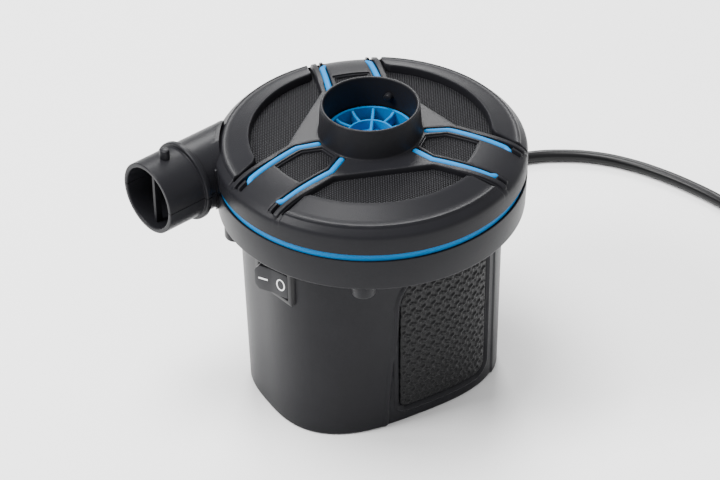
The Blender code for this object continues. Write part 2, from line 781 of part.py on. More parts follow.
def switch():
    """Rocker switch: housing with bezel, rocker on its pivot, and two terminals."""
    face = SWITCH_FACE_X
    half_y = BEZEL_LENGTH / 2.0
    half_z = BEZEL_HEIGHT / 2.0
    housing = block(
        "switch_housing", (face, SWITCH_Y - half_y, SWITCH_Z - half_z),
        (face + BEZEL_THICKNESS, SWITCH_Y + half_y, SWITCH_Z + half_z), DARK_PLASTIC,
    )
    box = block(
        "box", (face + 1.0, SWITCH_Y - SWITCH_BOX_HALF_LENGTH, SWITCH_Z - SWITCH_BOX_HALF_HEIGHT),
        (face + SWITCH_BOX_DEPTH, SWITCH_Y + SWITCH_BOX_HALF_LENGTH, SWITCH_Z + SWITCH_BOX_HALF_HEIGHT),
        DARK_PLASTIC,
    )
    fuse(housing, box)
    well_y = ROCKER_HALF_LENGTH + 4.0 * GAP
    well_z = ROCKER_HEIGHT / 2.0 + GAP
    well = block(
        "well", (face - 3.0, SWITCH_Y - well_y, SWITCH_Z - well_z),
        (face + 8.5, SWITCH_Y + well_y, SWITCH_Z + well_z), DARK_PLASTIC,
    )
    cut(housing, well)
    end = ROCKER_HALF_LENGTH
    outline = (
        (-4.4, -end), (-3.7, 0.0), (-4.4, end), (-1.0, end), (2.2, 4.0), (4.4, 1.4),
        (4.4, -1.4), (2.2, -4.0), (-1.0, -end),
    )
    rings = [
        [(x, y, z) for x, y in outline]
        for z in (-ROCKER_HEIGHT / 2.0, ROCKER_HEIGHT / 2.0)
    ]
    rocker = loft("switch_rocker", rings, DARK_PLASTIC)
    turn = Matrix.Rotation(math.radians(ROCKER_TILT), 4, "Z")
    rocker.data.transform(turn)
    rocker.location = (ROCKER_PIVOT_X, SWITCH_Y, SWITCH_Z)
    for number, side in enumerate((-1.0, 1.0), 1):
        y = SWITCH_Y + side * 5.0
        block(
            f"switch_terminal_{number}", (face + SWITCH_BOX_DEPTH + GAP, y - 2.4, SWITCH_Z - 0.4),
            (face + 24.0, y + 2.4, SWITCH_Z + 0.4), BRASS,
        )


# ---------------------------------------------------------------- motor and fan

def bearing(name, levels, outer, finish):
    """Ball bearing as one closed ring."""
    low, high = levels
    inner = SHAFT_RADIUS + GAP
    return turned(name, (
        (inner, low), (inner, high), (outer, high), (outer, low),
    ), finish, 24)


def rotor():
    """Shaft, armature, commutator and the two end windings."""
    stack("motor_shaft", ((SHAFT_RADIUS, 17.6), (SHAFT_RADIUS, 117.9)), STEEL, SMALL)
    bore = SHAFT_RADIUS + GAP
    low, high = CORE_Z
    core = turned("armature_core", (
        (bore, low), (bore, high), (ARMATURE_RADIUS, high), (ARMATURE_RADIUS, low),
    ), LAMINATION, MEDIUM)
    for index in range(12):
        x, y = polar(ARMATURE_RADIUS - 0.2, index * 30.0)
        slot = block("slot", (-1.6, -0.8, low - 2.0), (1.6, 0.8, high + 2.0), LAMINATION)
        turn = Matrix.Rotation(math.radians(index * 30.0), 4, "Z")
        slot.data.transform(Matrix.Translation((x, y, 0.0)) @ turn)
        cut(core, slot)
    ends = (("upper_end_winding", high + GAP, 1.0), ("lower_end_winding", low - GAP, -1.0))
    for name, start, side in ends:
        turned(name, (
            (bore + 1.0, start), (12.2, start), (12.2, start + side * 3.5),
            (10.0, start + side * 5.6), (bore + 1.0, start + side * 5.6),
        ), COPPER, 24)
    low, high = COMMUTATOR_Z
    turned("commutator", (
        (bore, low), (bore, high), (COMMUTATOR_RADIUS + 1.5, high),
        (COMMUTATOR_RADIUS + 1.5, high - 1.5), (COMMUTATOR_RADIUS, high - 1.5),
        (COMMUTATOR_RADIUS, low),
    ), COPPER, 24)


def stator():
    """Laminated stator core with its two field coils."""
    low, high = CORE_Z
    core = block("stator_core", (-27.0, -23.0, low), (27.0, 23.0, high), LAMINATION)
    window = block("window", (-19.0, -17.6, low - 2.0), (19.0, 17.6, high + 2.0), LAMINATION)
    cut(core, window)
    for side in (-1.0, 1.0):
        pole = block(
            "pole", (min(side * 11.0, side * 20.0), -8.0, low),
            (max(side * 11.0, side * 20.0), 8.0, high), LAMINATION,
        )
        shoe = turned("shoe", (
            (STATOR_BORE_RADIUS - 1.0, low), (STATOR_BORE_RADIUS - 1.0, high),
            (16.6, high), (16.6, low),
        ), LAMINATION, MEDIUM)
        keep = block(
            "keep", (min(side * 7.5, side * 20.0), -20.0, low - 1.0),
            (max(side * 7.5, side * 20.0), 20.0, high + 1.0), LAMINATION,
        )
        combine(shoe, keep, "INTERSECT")
        fuse(pole, shoe)
        fuse(core, pole)
    bore = stack(
        "bore", ((STATOR_BORE_RADIUS, low - 2.0), (STATOR_BORE_RADIUS, high + 2.0)),
        LAMINATION, MEDIUM,
    )
    cut(core, bore)
    for name, side in (("field_coil_front", -1.0), ("field_coil_back", 1.0)):
        inner = 17.2
        outer = 18.6
        edges = sorted((side * inner, side * outer))
        coil = block(name, (edges[0], -13.2, low - 6.0), (edges[1], 13.2, high + 6.0), COPPER)
        hole = block("hole", (-30.0, -8.6, low - GAP), (30.0, 8.6, high + GAP), COPPER)
        cut(coil, hole)


def motor_frames():
    """Upper and lower motor end frames, their bearings and the brush holders' pillars."""
    upper = turned("upper_motor_frame", (
        (UPPER_BEARING_RADIUS + GAP, 81.6), (UPPER_BEARING_RADIUS + GAP, BODY_TOP_Z - 0.2),
        (21.0, BODY_TOP_Z - 0.2), (21.0, 86.0), (12.5, 84.0), (12.5, 81.6),
    ), BLACK_PLASTIC, MEDIUM)
    lower = turned("lower_motor_frame", (
        (LOWER_BEARING_RADIUS + GAP, 18.0), (22.0, 18.0), (22.0, 21.0), (12.0, 25.0),
        (LOWER_BEARING_RADIUS + GAP, 25.0),
    ), BLACK_PLASTIC, MEDIUM)
    bearing("upper_bearing", UPPER_BEARING_Z, UPPER_BEARING_RADIUS, STEEL)
    bearing("lower_bearing", LOWER_BEARING_Z, LOWER_BEARING_RADIUS, STEEL)
    for side in (-1.0, 1.0):
        for end_frame, low in ((upper, 80.0), (lower, 16.0)):
            cut(end_frame, screw_hole((0.0, side * MOTOR_SCREW_Y), low, low + 16.0))
        near, far = sorted((side * 14.0, side * 22.0))
        pillar = block(
            "pillar", (near, -3.6, 20.0), (far, 3.6, BRUSH_HOLDER_Z[0] - GAP), BLACK_PLASTIC,
        )
        fuse(lower, pillar)


def brushes():
    """Two brush holders, each with its carbon brush."""
    low, high = BRUSH_HOLDER_Z
    for name, side in (("front", -1.0), ("back", 1.0)):
        near, far = sorted((side * 12.0, side * 24.0))
        holder = block(f"brush_holder_{name}", (near, -4.2, low), (far, 4.2, high), BRASS)
        hole = block(
            "hole", (-30.0, -BRUSH_HALF_WIDTH - GAP, low + 1.5),
            (30.0, BRUSH_HALF_WIDTH + GAP, high - 1.5), BRASS,
        )
        cut(holder, hole)
        near, far = sorted((side * (COMMUTATOR_RADIUS + GAP), side * 21.0))
        block(
            f"carbon_brush_{name}", (near, -BRUSH_HALF_WIDTH, low + 1.5 + GAP),
            (far, BRUSH_HALF_WIDTH, high - 1.5 - GAP), CARBON,
        )


def impeller():
    """Closed radial fan wheel: back plate, hub, blades and front shroud with the eye ring."""
    z = PARTING_Z
    wheel = turned("impeller", (
        (SHAFT_RADIUS + GAP, z - 9.0), (IMPELLER_RADIUS, z - 9.0), (IMPELLER_RADIUS, z - 7.4),
        (12.0, z - 6.4), (9.0, z + 2.0), (7.0, z + 4.5), (SHAFT_RADIUS + GAP, z + 4.5),
    ), BLUE_PLASTIC, 36)
    shroud = turned("shroud", (
        (IMPELLER_RADIUS, z + 3.4), (IMPELLER_RADIUS, z + 5.0), (26.0, z + 8.6),
        (18.9, z + 11.2), (EYE_OUTER_RADIUS, z + EYE_TOP), (EYE_INNER_RADIUS, z + EYE_TOP),
        (EYE_INNER_RADIUS, z + 10.8), (25.0, z + 7.2),
    ), BLUE_PLASTIC, 72)
    for index in range(10):
        blade = fan_blade(index * 36.0)
        fuse(wheel, blade)
    fuse(wheel, shroud)
    return wheel


def fan_blade(angle):
    """One backward-curved blade."""
    z = PARTING_Z
    steps = 4
    half = 0.7
    rings = []
    for step in range(steps + 1):
        share = step / steps
        radius = 9.0 + share * (IMPELLER_RADIUS - 9.4)
        bend = angle - 34.0 * share ** 1.3
        x, y = polar(radius, bend)
        tangent = math.radians(bend - 40.0 * share)
        normal = Vector((-math.sin(tangent), math.cos(tangent), 0.0)) * half
        if radius < 17.5:
            top = z + 6.0 + (radius - 9.0) * 0.6
        elif radius < 26.0:
            top = z + 11.0 - (radius - 17.5) * 0.35
        else:
            top = z + 8.0 - (radius - 26.0) * 0.18
        low = z - 7.6
        rings.append([
            (x + normal.x, y + normal.y, low), (x - normal.x, y - normal.y, low),
            (x - normal.x, y - normal.y, top), (x + normal.x, y + normal.y, top),
        ])
    return loft("blade", rings, BLUE_PLASTIC)


def impeller_cap():
    """Spoked cap over the nut, in the eye ring: a disc, a ring and spokes."""
    low = PARTING_Z + CAP_LOW
    top = PARTING_Z + CAP_TOP
    cap = stack("impeller_cap", ((CAP_RADIUS, low), (CAP_RADIUS, low + 1.1)), BLUE_PLASTIC, 36)
    ring = turned("cap_ring", (
        (CAP_RING_RADIUS, low + 0.5), (CAP_RING_RADIUS, top),
        (CAP_RING_RADIUS + CAP_WALL, top), (CAP_RING_RADIUS + CAP_WALL, low + 0.5),
    ), BLUE_PLASTIC, 36)
    fuse(cap, ring)
    reach = EYE_INNER_RADIUS - 0.4
    for index in range(CAP_SPOKES):
        crossing = index % 3 == 1
        start = 0.0 if crossing else CAP_RING_RADIUS + CAP_WALL / 2.0
        spoke = block(
            "spoke", (start, -CAP_WALL / 2.0, low + 0.6), (reach, CAP_WALL / 2.0, top - 0.1),
            BLUE_PLASTIC,
        )
        fuse(cap, spin(spoke, CAP_FIRST_SPOKE + index * 360.0 / CAP_SPOKES))
    return cap


def impeller_fasteners():
    """Washer and nut that hold the wheel on the shaft."""
    z = PARTING_Z
    bore = SHAFT_RADIUS + GAP
    turned("impeller_washer", (
        (bore, z + 4.8), (bore, z + 5.8), (6.4, z + 5.8), (6.4, z + 4.8),
    ), STEEL, 24)
    corner_bore = bore / math.cos(math.radians(30.0))
    turned("impeller_nut", (
        (corner_bore, z + 6.1), (corner_bore, z + 10.6), (5.8, z + 10.6), (5.8, z + 6.1),
    ), STEEL, 6)


# ---------------------------------------------------------------- cord

def strain_relief():
    """Tapered sleeve where the cord leaves the body."""
    heading = polar(1.0, CORD_EXIT_ANGLE)
    bore = CORD_RADIUS + GAP
    length = RELIEF_END_RADIUS - RELIEF_START_RADIUS
    sleeve = turned("strain_relief", (
        (bore, 0.0), (bore, length), (4.2, length), (RELIEF_RADIUS, 18.0), (RELIEF_RADIUS, 1.8),
        (7.4, 1.6), (7.4, 0.0),
    ), CORD_PVC, 24)
    start = (heading[0] * RELIEF_START_RADIUS, heading[1] * RELIEF_START_RADIUS, CORD_EXIT_Z)
    return turn_to(sleeve, start, (heading[0], heading[1], 0.0))


CORD_RUN = (
    (36.9, 25.8, 14.0), (52.0, 36.4, 14.0), (67.0, 46.9, 14.0), (80.0, 55.6, 12.0),
    (93.0, 63.0, 7.4), (108.0, 69.4, 3.6), (126.0, 72.8, 3.0), (143.0, 71.4, 3.0),
    (156.0, 66.8, 3.0), (171.0, 55.6, 3.0), (181.0, 44.0, 3.0), (188.5, 30.0, 3.0),
    (193.8, 14.0, 3.0), (197.4, -4.0, 3.0), (199.0, -20.0, 3.0), (198.9, -36.0, 3.3),
    (198.3, -52.0, 3.6), (198.1, -66.0, 4.0),
)
PLUG_X = 288.0
PLUG_Z = 6.85
PLUG_PIN_END_Y = 13.0
PLUG_RUN = ((287.9, -66.0, 6.0), (288.0, -56.0, 6.4), (288.0, -44.0, 6.85))


def cord():
    """Cord from the body to the coil, the coil, its tie, and the cord to the plug."""
    tube_along("cord_run", smooth_route(CORD_RUN, 10.0), CORD_RADIUS, CORD_PVC)
    tube_along("cord_plug_run", smooth_route(PLUG_RUN, 8.0), CORD_RADIUS, CORD_PVC)
    half = COIL_COLUMNS * CORD_RADIUS
    low = COIL_LIFT
    high = COIL_LIFT + COIL_LAYERS * 2.0 * CORD_RADIUS
    turned("cord_coil", (
        (COIL_MEAN_RADIUS - half, low), (COIL_MEAN_RADIUS - half, high),
        (COIL_MEAN_RADIUS + half, high), (COIL_MEAN_RADIUS + half, low),
    ), CORD_PVC, 40, COIL_CENTRE)
    centre_x = COIL_CENTRE[0]
    centre_y = COIL_CENTRE[1] + COIL_MEAN_RADIUS
    tie = block(
        "coil_tie", (centre_x - 3.0, centre_y - half - 1.2, low - GAP - 0.8),
        (centre_x + 3.0, centre_y + half + 1.2, high + GAP + 0.8), CORD_PVC,
    )
    inside = block(
        "inside", (centre_x - 5.0, centre_y - half - GAP, low - GAP),
        (centre_x + 5.0, centre_y + half + GAP, high + GAP), CORD_PVC,
    )
    cut(tie, inside)


def plug():
    """Flat two-pin plug that lies beside the coil."""
    x = PLUG_X
    z = PLUG_Z
    sections = (
        (-43.6, 4.0, 4.0), (-30.0, 5.4, 5.0), (-26.0, 9.0, 6.0), (-18.0, 12.8, 6.7),
        (-6.0, 17.0, 6.7),
    )
    rings = []
    for y, half_x, half_z in sections:
        ring = []
        for index in range(24):
            angle = math.tau * index / 24
            cosine = math.cos(angle)
            sine = math.sin(angle)
            ring.append((
                x + half_x * math.copysign(abs(cosine) ** 0.6, cosine), y,
                z + half_z * math.copysign(abs(sine) ** 0.6, sine),
            ))
        rings.append(ring)
    loft("plug_body", rings, CORD_PVC)
    for number, side in enumerate((-1.0, 1.0), 1):
        start = (x + side * 9.4, -6.0 + GAP, z)
        end = (x + side * 9.0, PLUG_PIN_END_Y, z)
        rod(f"plug_pin_{number}", start, end, 2.0, STEEL)


def build():
    """Build every part."""
    clear_scene()
    top_cover()
    accent_strips()
    trim_ring()
    lower_housing()
    body_shell()
    base_plate()
    screws()
    grip_pads()
    switch()
    rotor()
    stator()
    motor_frames()
    brushes()
    impeller()
    impeller_cap()
    impeller_fasteners()
    strain_relief()
    cord()
    plug()
    to_metres()


build()
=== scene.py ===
"""Looks for the mains air pump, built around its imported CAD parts.

Meshes are made in millimetres and scaled to metres when they are placed.  Heights on the
drum are measured from its parting plane.  Most sizes come from the CAD nodes' own boxes.
"""

import json
import math

import bmesh
import bpy
import numpy as np
from mathutils import Matrix, Vector
from mathutils.geometry import delaunay_2d_cdt


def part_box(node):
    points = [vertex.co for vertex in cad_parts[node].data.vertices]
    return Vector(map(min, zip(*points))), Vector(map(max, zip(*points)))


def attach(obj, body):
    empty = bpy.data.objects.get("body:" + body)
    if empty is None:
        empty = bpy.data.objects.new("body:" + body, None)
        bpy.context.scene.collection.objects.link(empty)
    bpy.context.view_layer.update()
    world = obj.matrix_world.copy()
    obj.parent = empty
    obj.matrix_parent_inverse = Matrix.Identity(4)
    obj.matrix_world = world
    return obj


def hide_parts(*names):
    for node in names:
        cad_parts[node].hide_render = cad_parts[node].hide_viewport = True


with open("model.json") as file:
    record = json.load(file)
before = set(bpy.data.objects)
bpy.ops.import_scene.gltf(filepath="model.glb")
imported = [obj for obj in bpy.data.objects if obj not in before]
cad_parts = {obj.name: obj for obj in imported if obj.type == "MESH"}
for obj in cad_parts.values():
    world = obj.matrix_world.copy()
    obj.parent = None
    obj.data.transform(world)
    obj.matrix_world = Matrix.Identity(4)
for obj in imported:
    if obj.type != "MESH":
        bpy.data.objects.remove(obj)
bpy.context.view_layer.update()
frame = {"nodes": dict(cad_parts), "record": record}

MM = 0.001
ARM_ANGLES = (180.0, 300.0, 60.0)


def node_box(name):
    """Return a CAD node's lowest and highest corners in millimetres."""
    low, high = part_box(name)
    return low / MM, high / MM


# ---------------- sizes taken from the frame

RING_LOW, RING_HIGH = node_box("trim_ring")
COVER_LOW, COVER_HIGH = node_box("top_cover")
PARTING_Z = (RING_LOW.z + RING_HIGH.z) / 2.0
COLLAR_TOP = COVER_HIGH.z - PARTING_Z
TUBE_END_X = COVER_LOW.x
BODY_TOP = node_box("body_shell")[1].z


# ---------------- camera, floor and lights

def linked(name, data):
    """New object in the scene."""
    made = bpy.data.objects.new(name, data)
    bpy.context.scene.collection.objects.link(made)
    return made


def camera():
    """Camera of the main view."""
    data = bpy.data.cameras.new("camera")
    data.lens = 150.0
    data.sensor_width = 36.0
    data.clip_start = 0.05
    made = linked("camera", data)
    position = Vector((-0.6689, -0.7863, 0.8365))
    forward = Vector((0.5167, 0.6136, -0.5972))
    turn = forward.to_track_quat("-Z", "Y").to_matrix().to_4x4()
    roll = Matrix.Rotation(math.radians(-1.04), 4, "Z")
    made.matrix_world = Matrix.Translation(position) @ turn @ roll
    bpy.context.scene.camera = made


def floor():
    """Plain pale floor."""
    mesh = bpy.data.meshes.new("floor")
    half = 6.0
    mesh.from_pydata(
        [(-half, -half, 0.0), (half, -half, 0.0), (half, half, 0.0), (-half, half, 0.0)],
        [], [(0, 1, 2, 3)],
    )
    finish = bpy.data.materials.new("floor_paint")
    finish.use_nodes = True
    shader = finish.node_tree.nodes["Principled BSDF"]
    shader.inputs["Base Color"].default_value = (0.93, 0.93, 0.93, 1.0)
    shader.inputs["Roughness"].default_value = 0.9
    mesh.materials.append(finish)
    linked("floor", mesh)


def area_light(name, place, size, power):
    """Square soft light aimed at the middle of the object."""
    data = bpy.data.lights.new(name, "AREA")
    data.size = size
    data.energy = power
    made = linked(name, data)
    made.location = place
    target = Vector((0.0, 0.0, 0.08))
    made.rotation_euler = (target - Vector(place)).to_track_quat("-Z", "Y").to_euler()


def lights():
    """Soft studio light from above and both sides, and a pale world."""
    area_light("overhead", (-0.2, 0.3, 1.9), 0.8, 58.0)
    area_light("key", (-1.1, 0.5, 1.3), 0.5, 30.0)
    area_light("back", (1.0, 1.2, 1.3), 0.6, 32.0)
    world = bpy.data.worlds.new("studio")
    world.use_nodes = True
    background = world.node_tree.nodes["Background"]
    background.inputs["Color"].default_value = (1.0, 1.0, 1.0, 1.0)
    background.inputs["Strength"].default_value = 1.0
    bpy.context.scene.world = world


# ---------------- materials

class Finish:
    """A Principled material and short ways to add nodes to it."""

    def __init__(self, name, colour, roughness, metallic=0.0, specular=0.5):
        self.material = bpy.data.materials.new(name)
        self.material.use_nodes = True
        self.tree = self.material.node_tree
        self.shader = self.tree.nodes["Principled BSDF"]
        self.shader.inputs["Base Color"].default_value = (*colour, 1.0)
        self.shader.inputs["Roughness"].default_value = roughness
        self.shader.inputs["Metallic"].default_value = metallic
        self.shader.inputs["Specular IOR Level"].default_value = specular
        self.colour = colour
        self.place = self.tree.nodes.new("ShaderNodeTexCoord").outputs["Object"]
        self.normal = None

    def node(self, kind, **settings):
        """Add a node and set its own properties."""
        made = self.tree.nodes.new(kind)
        for key, value in settings.items():
            setattr(made, key, value)
        return made

    def link(self, source, target):
        """Join two sockets."""
        self.tree.links.new(source, target)

    def noise(self, scale, detail=2.0):
        """Noise over the object's own coordinates; scale is in cells per metre."""
        made = self.node("ShaderNodeTexNoise")
        made.inputs["Scale"].default_value = scale
        made.inputs["Detail"].default_value = detail
        self.link(self.place, made.inputs["Vector"])
        return made.outputs["Fac"]

    def math(self, operation, first, second=None):
        """Math node on sockets or numbers."""
        made = self.node("ShaderNodeMath", operation=operation)
        for socket, value in zip(made.inputs, (first, second)):
            if value is None:
                continue
            if isinstance(value, (int, float)):
                socket.default_value = value
            else:
                self.link(value, socket)
        return made.outputs["Value"]

    def bump(self, height, distance, strength=1.0):
        """Add a bump layer on top of those added before."""
        made = self.node("ShaderNodeBump")
        made.inputs["Strength"].default_value = strength
        made.inputs["Distance"].default_value = distance
        self.link(height, made.inputs["Height"])
        if self.normal is not None:
            self.link(self.normal, made.inputs["Normal"])
        self.normal = made.outputs["Normal"]
        self.link(self.normal, self.shader.inputs["Normal"])

    def vary_colour(self, fac, light):
        """Blend the base colour with a lighter one."""
        made = self.node("ShaderNodeMix", data_type="RGBA")
        made.inputs["A"].default_value = (*self.colour, 1.0)
        made.inputs["B"].default_value = (*light, 1.0)
        self.link(fac, made.inputs["Factor"])
        self.link(made.outputs["Result"], self.shader.inputs["Base Color"])

    def vary_roughness(self, fac, low, high):
        """Drive roughness from a 0 to 1 socket."""
        made = self.node("ShaderNodeMapRange")
        made.inputs["To Min"].default_value = low
        made.inputs["To Max"].default_value = high
        self.link(fac, made.inputs["Value"])
        self.link(made.outputs["Result"], self.shader.inputs["Roughness"])


def grained(name, colour, light, roughness, grain, specular=0.5):
    """Moulded plastic with a fine spark-eroded grain and faint cloudy variation."""
    made = Finish(name, colour, roughness, specular=specular)
    made.vary_colour(made.noise(90.0, 3.0), light)
    fine = made.noise(2600.0, 1.0)
    made.vary_roughness(fine, roughness - 0.05, roughness + 0.06)
    made.bump(fine, grain)
    return made


def knurl_finish():
    """Black plastic moulded with a close pattern of small staggered studs, with painted shade in the
    gaps between them and painted light on their tops.
    """
    made = Finish("knurled_plastic", (0.0015, 0.0015, 0.0018), 0.40, specular=0.10)
    parts = made.node("ShaderNodeSeparateXYZ")
    made.link(made.place, parts.inputs["Vector"])
    waves = []
    for degrees in (20.0, 80.0, 140.0):
        turn = math.radians(degrees)
        along_x = made.math("MULTIPLY", parts.outputs["X"], KNURL_WAVES * math.cos(turn))
        along_y = made.math("MULTIPLY", parts.outputs["Y"], KNURL_WAVES * math.sin(turn))
        waves.append(made.math("COSINE", made.math("ADD", along_x, along_y)))
    total = made.math("ADD", made.math("ADD", waves[0], waves[1]), waves[2])
    height = made.math("MULTIPLY", made.math("ADD", total, 1.5), 1.0 / 4.5)
    # Painted shade and light: the colour follows the stud height, dark in the gaps and light on the
    # tops.
    made.vary_colour(made.math("POWER", height, 1.6), (0.050, 0.050, 0.056))
    made.bump(height, 0.0006)
    return made


def plain_metal(name, colour, roughness):
    """Metal with fine scratches in its roughness."""
    made = Finish(name, colour, roughness, 1.0)
    made.vary_roughness(made.noise(900.0, 4.0), roughness - 0.08, roughness + 0.10)
    made.bump(made.noise(1500.0, 2.0), 0.00001)
    return made


# Waves of the knurl in radians per metre: studs 1.15 mm apart
KNURL_WAVES = math.tau / 0.000996

BLACK = grained("black_plastic", (0.0075, 0.0075, 0.0090), (0.0100, 0.0100, 0.0120), 0.36, 0.00006, 0.11)
DARK = grained("dark_plastic", (0.007, 0.007, 0.008), (0.009, 0.009, 0.010), 0.34, 0.00001, 0.2)
BLUE = grained("blue_plastic", (0.002, 0.150, 0.400), (0.003, 0.165, 0.430), 0.34, 0.00001, 0.08)
RUBBER = grained("rubber", (0.0030, 0.0030, 0.0035), (0.0050, 0.0050, 0.0058), 0.28, 0.00003, 0.16)
PVC = grained("cord_pvc", (0.0025, 0.0025, 0.0028), (0.0035, 0.0035, 0.0040), 0.32, 0.00001, 0.2)
CARBON = grained("carbon", (0.03, 0.03, 0.03), (0.04, 0.04, 0.04), 0.6, 0.00003)
KNURL = knurl_finish()
ROCKER = grained("rocker_plastic", (0.012, 0.012, 0.014), (0.015, 0.015, 0.017), 0.42, 0.00001, 0.22)
PRINT = grained("white_print", (0.80, 0.80, 0.80), (0.85, 0.85, 0.85), 0.5, 0.00001)
STEEL = plain_metal("steel", (0.60, 0.60, 0.61), 0.30)
LAMINATION = plain_metal("lamination", (0.30, 0.30, 0.32), 0.5)
COPPER = plain_metal("copper", (0.60, 0.24, 0.10), 0.35)
BRASS = plain_metal("brass", (0.70, 0.52, 0.22), 0.30)
FINISHES = {
    "black_plastic": BLACK, "dark_plastic": DARK, "blue_plastic": BLUE, "rubber": RUBBER,
    "cord_pvc": PVC, "carbon": CARBON, "steel": STEEL, "lamination": LAMINATION,
    "copper": COPPER, "brass": BRASS,
}


def dress_frame():
    """Give every CAD node its slot's finish."""
    slots = {part["node"]: part["material_slot"] for part in frame["record"]["subparts"]}
    for name, node in frame["nodes"].items():
        node.data.materials.clear()
        node.data.materials.append(FINISHES[slots[name]].material)


# ---------------- cord

CORD_DIAMETER = 0.0058
CORD_RUN = (
    (0.0655, 0.0459, 0.0140), (0.0800, 0.0556, 0.0120),
    (0.0930, 0.0630, 0.0074), (0.1080, 0.0694, 0.0036), (0.1260, 0.0728, 0.0030),
    (0.1430, 0.0714, 0.0030), (0.1560, 0.0668, 0.0030), (0.1710, 0.0556, 0.0030),
    (0.1810, 0.0440, 0.0030), (0.1885, 0.0300, 0.0030), (0.1938, 0.0140, 0.0030),
    (0.1974, -0.0040, 0.0030), (0.1990, -0.0200, 0.0030), (0.1989, -0.0360, 0.0033),
    (0.1983, -0.0520, 0.0036), (0.1981, -0.0660, 0.0040),
)
PLUG_RUN = ((0.2880, -0.0560, 0.0064), (0.2880, -0.0440, 0.00685))
COIL_CENTRE = (0.2430, -0.0660)
COIL_TURNS = ((0.0388, 0.0330, 0.0272), (0.0040, 0.0098))
COIL_STEPS = 24


def coil_points():
    """Points of the coil: three turns inwards below, then three and a half outwards above."""
    lower, upper = COIL_TURNS[1]
    outside = COIL_TURNS[0][0] + 0.75 * CORD_DIAMETER
    inside = COIL_TURNS[0][-1] - 0.25 * CORD_DIAMETER
    last = PLUG_RUN[0][0] - COIL_CENTRE[0]
    points = []
    for step in range(3 * COIL_STEPS + 1):
        done = step / COIL_STEPS
        points.append((outside - CORD_DIAMETER * done, math.tau * done, lower))
    for step in range(1, 7 * COIL_STEPS // 2 + 1):
        done = step / COIL_STEPS
        radius = np.interp(
            done, (0.0, 0.75, 2.75, 3.5), (inside, COIL_TURNS[0][-1], COIL_TURNS[0][0], last),
        )
        points.append((float(radius), math.tau * done, lower + (upper - lower) * min(1.0, step / 10.0)))
    return [
        (COIL_CENTRE[0] - radius * math.cos(angle), COIL_CENTRE[1] - radius * math.sin(angle), z)
        for radius, angle, z in points
    ]


def cord(plug):
    """The whole lead as one curve: free run, coil and the end at the plug."""
    points = [Vector(point) for point in (*CORD_RUN[:-1], *coil_points(), *PLUG_RUN)]
    curve = bpy.data.curves.new("mains_cord", "CURVE")
    curve.dimensions = "3D"
    curve.bevel_depth = CORD_DIAMETER / 2.0
    curve.bevel_resolution = 6
    curve.resolution_u = 4
    curve.use_fill_caps = True
    spline = curve.splines.new("BEZIER")
    spline.bezier_points.add(len(points) - 1)
    for knot, point in zip(spline.bezier_points, points):
        knot.co = point
        knot.handle_left_type = "AUTO"
        knot.handle_right_type = "AUTO"
    curve.materials.append(PVC.material)
    made = linked("mains_cord", curve)
    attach(made, "housing")
    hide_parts("cord_run", "cord_coil", "cord_plug_run")


# ---------------- mesh helpers

def placed(name, mesh, finishes, node=None, body="housing", sharp=32.0):
    """Scale a mesh to metres, shade it smooth, give it its finishes and ride it on a body."""
    mesh.transform(Matrix.Scale(MM, 4))
    mesh.shade_smooth()
    mesh.set_sharp_from_angle(angle=math.radians(sharp))
    for finish in finishes:
        mesh.materials.append(finish.material)
    made = linked(name, mesh)
    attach(made, body)
    if node:
        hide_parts(node)
    return made


def carved(mesh, tool, operation="DIFFERENCE"):
    """Boolean of two meshes in millimetres."""
    target = linked("target", mesh)
    cutter = linked("cutter", tool)
    modifier = target.modifiers.new("carve", "BOOLEAN")
    modifier.object = cutter
    modifier.operation = operation
    modifier.solver = "EXACT"
    evaluated = target.evaluated_get(bpy.context.evaluated_depsgraph_get())
    result = bpy.data.meshes.new_from_object(evaluated)
    for made in (target, cutter):
        bpy.data.objects.remove(made)
    return result


def gathered(name, meshes):
    """One mesh made of several that don't touch."""
    bm = bmesh.new()
    for mesh in meshes:
        bm.from_mesh(mesh)
    made = bpy.data.meshes.new(name)
    bm.to_mesh(made)
    bm.free()
    return made


def stitched(name, rings, closed=False):
    """Mesh through rings of points; the ends get caps, or meet when closed is set."""
    count = len(rings[0])
    points = [tuple(point) for ring in rings for point in ring]
    faces = []
    pairs = [(index, index + 1) for index in range(len(rings) - 1)]
    if closed:
        pairs.append((len(rings) - 1, 0))
    for low, high in pairs:
        for index in range(count):
            after = (index + 1) % count
            faces.append((
                low * count + index, low * count + after,
                high * count + after, high * count + index,
            ))
    if not closed:
        faces.append(tuple(reversed(range(count))))
        faces.append(tuple(range((len(rings) - 1) * count, len(rings) * count)))
    mesh = bpy.data.meshes.new(name)
    mesh.from_pydata(points, [], faces)
    outward(mesh)
    return mesh


def lathe(name, profile, segments=192, centre=(0.0, 0.0), closed=True):
    """Turn a closed profile of (radius, height) points about a vertical axis."""
    turns = [math.tau * step / segments for step in range(segments)]
    rings = [
        [(centre[0] + r * math.cos(a), centre[1] + r * math.sin(a), z) for a in turns]
        for r, z in profile
    ]
    return stitched(name, rings, closed)


def column(name, profile, segments=96, centre=(0.0, 0.0)):
    """Turn an open profile of (radius, height) points and cap both ends."""
    return lathe(name, profile, segments, centre, closed=False)


def aimed(mesh, start, direction):
    """Turn a mesh made along +Z to a direction and move it to its start."""
    turn = Vector(direction).to_track_quat("Z", "Y").to_matrix().to_4x4()
    mesh.transform(Matrix.Translation(start) @ turn)
    return mesh


def box_mesh(name, low, high):
    """Box between two corners."""
    rings = [
        [(low[0], low[1], z), (high[0], low[1], z), (high[0], high[1], z), (low[0], high[1], z)]
        for z in (low[2], high[2])
    ]
    return stitched(name, rings)


def outward(mesh):
    """Turn all faces outwards."""
    bm = bmesh.new()
    bm.from_mesh(mesh)
    bmesh.ops.recalc_face_normals(bm, faces=bm.faces)
    if bm.calc_volume(signed=True) < 0.0:
        bmesh.ops.reverse_faces(bm, faces=bm.faces)
    bm.to_mesh(mesh)
    bm.free()


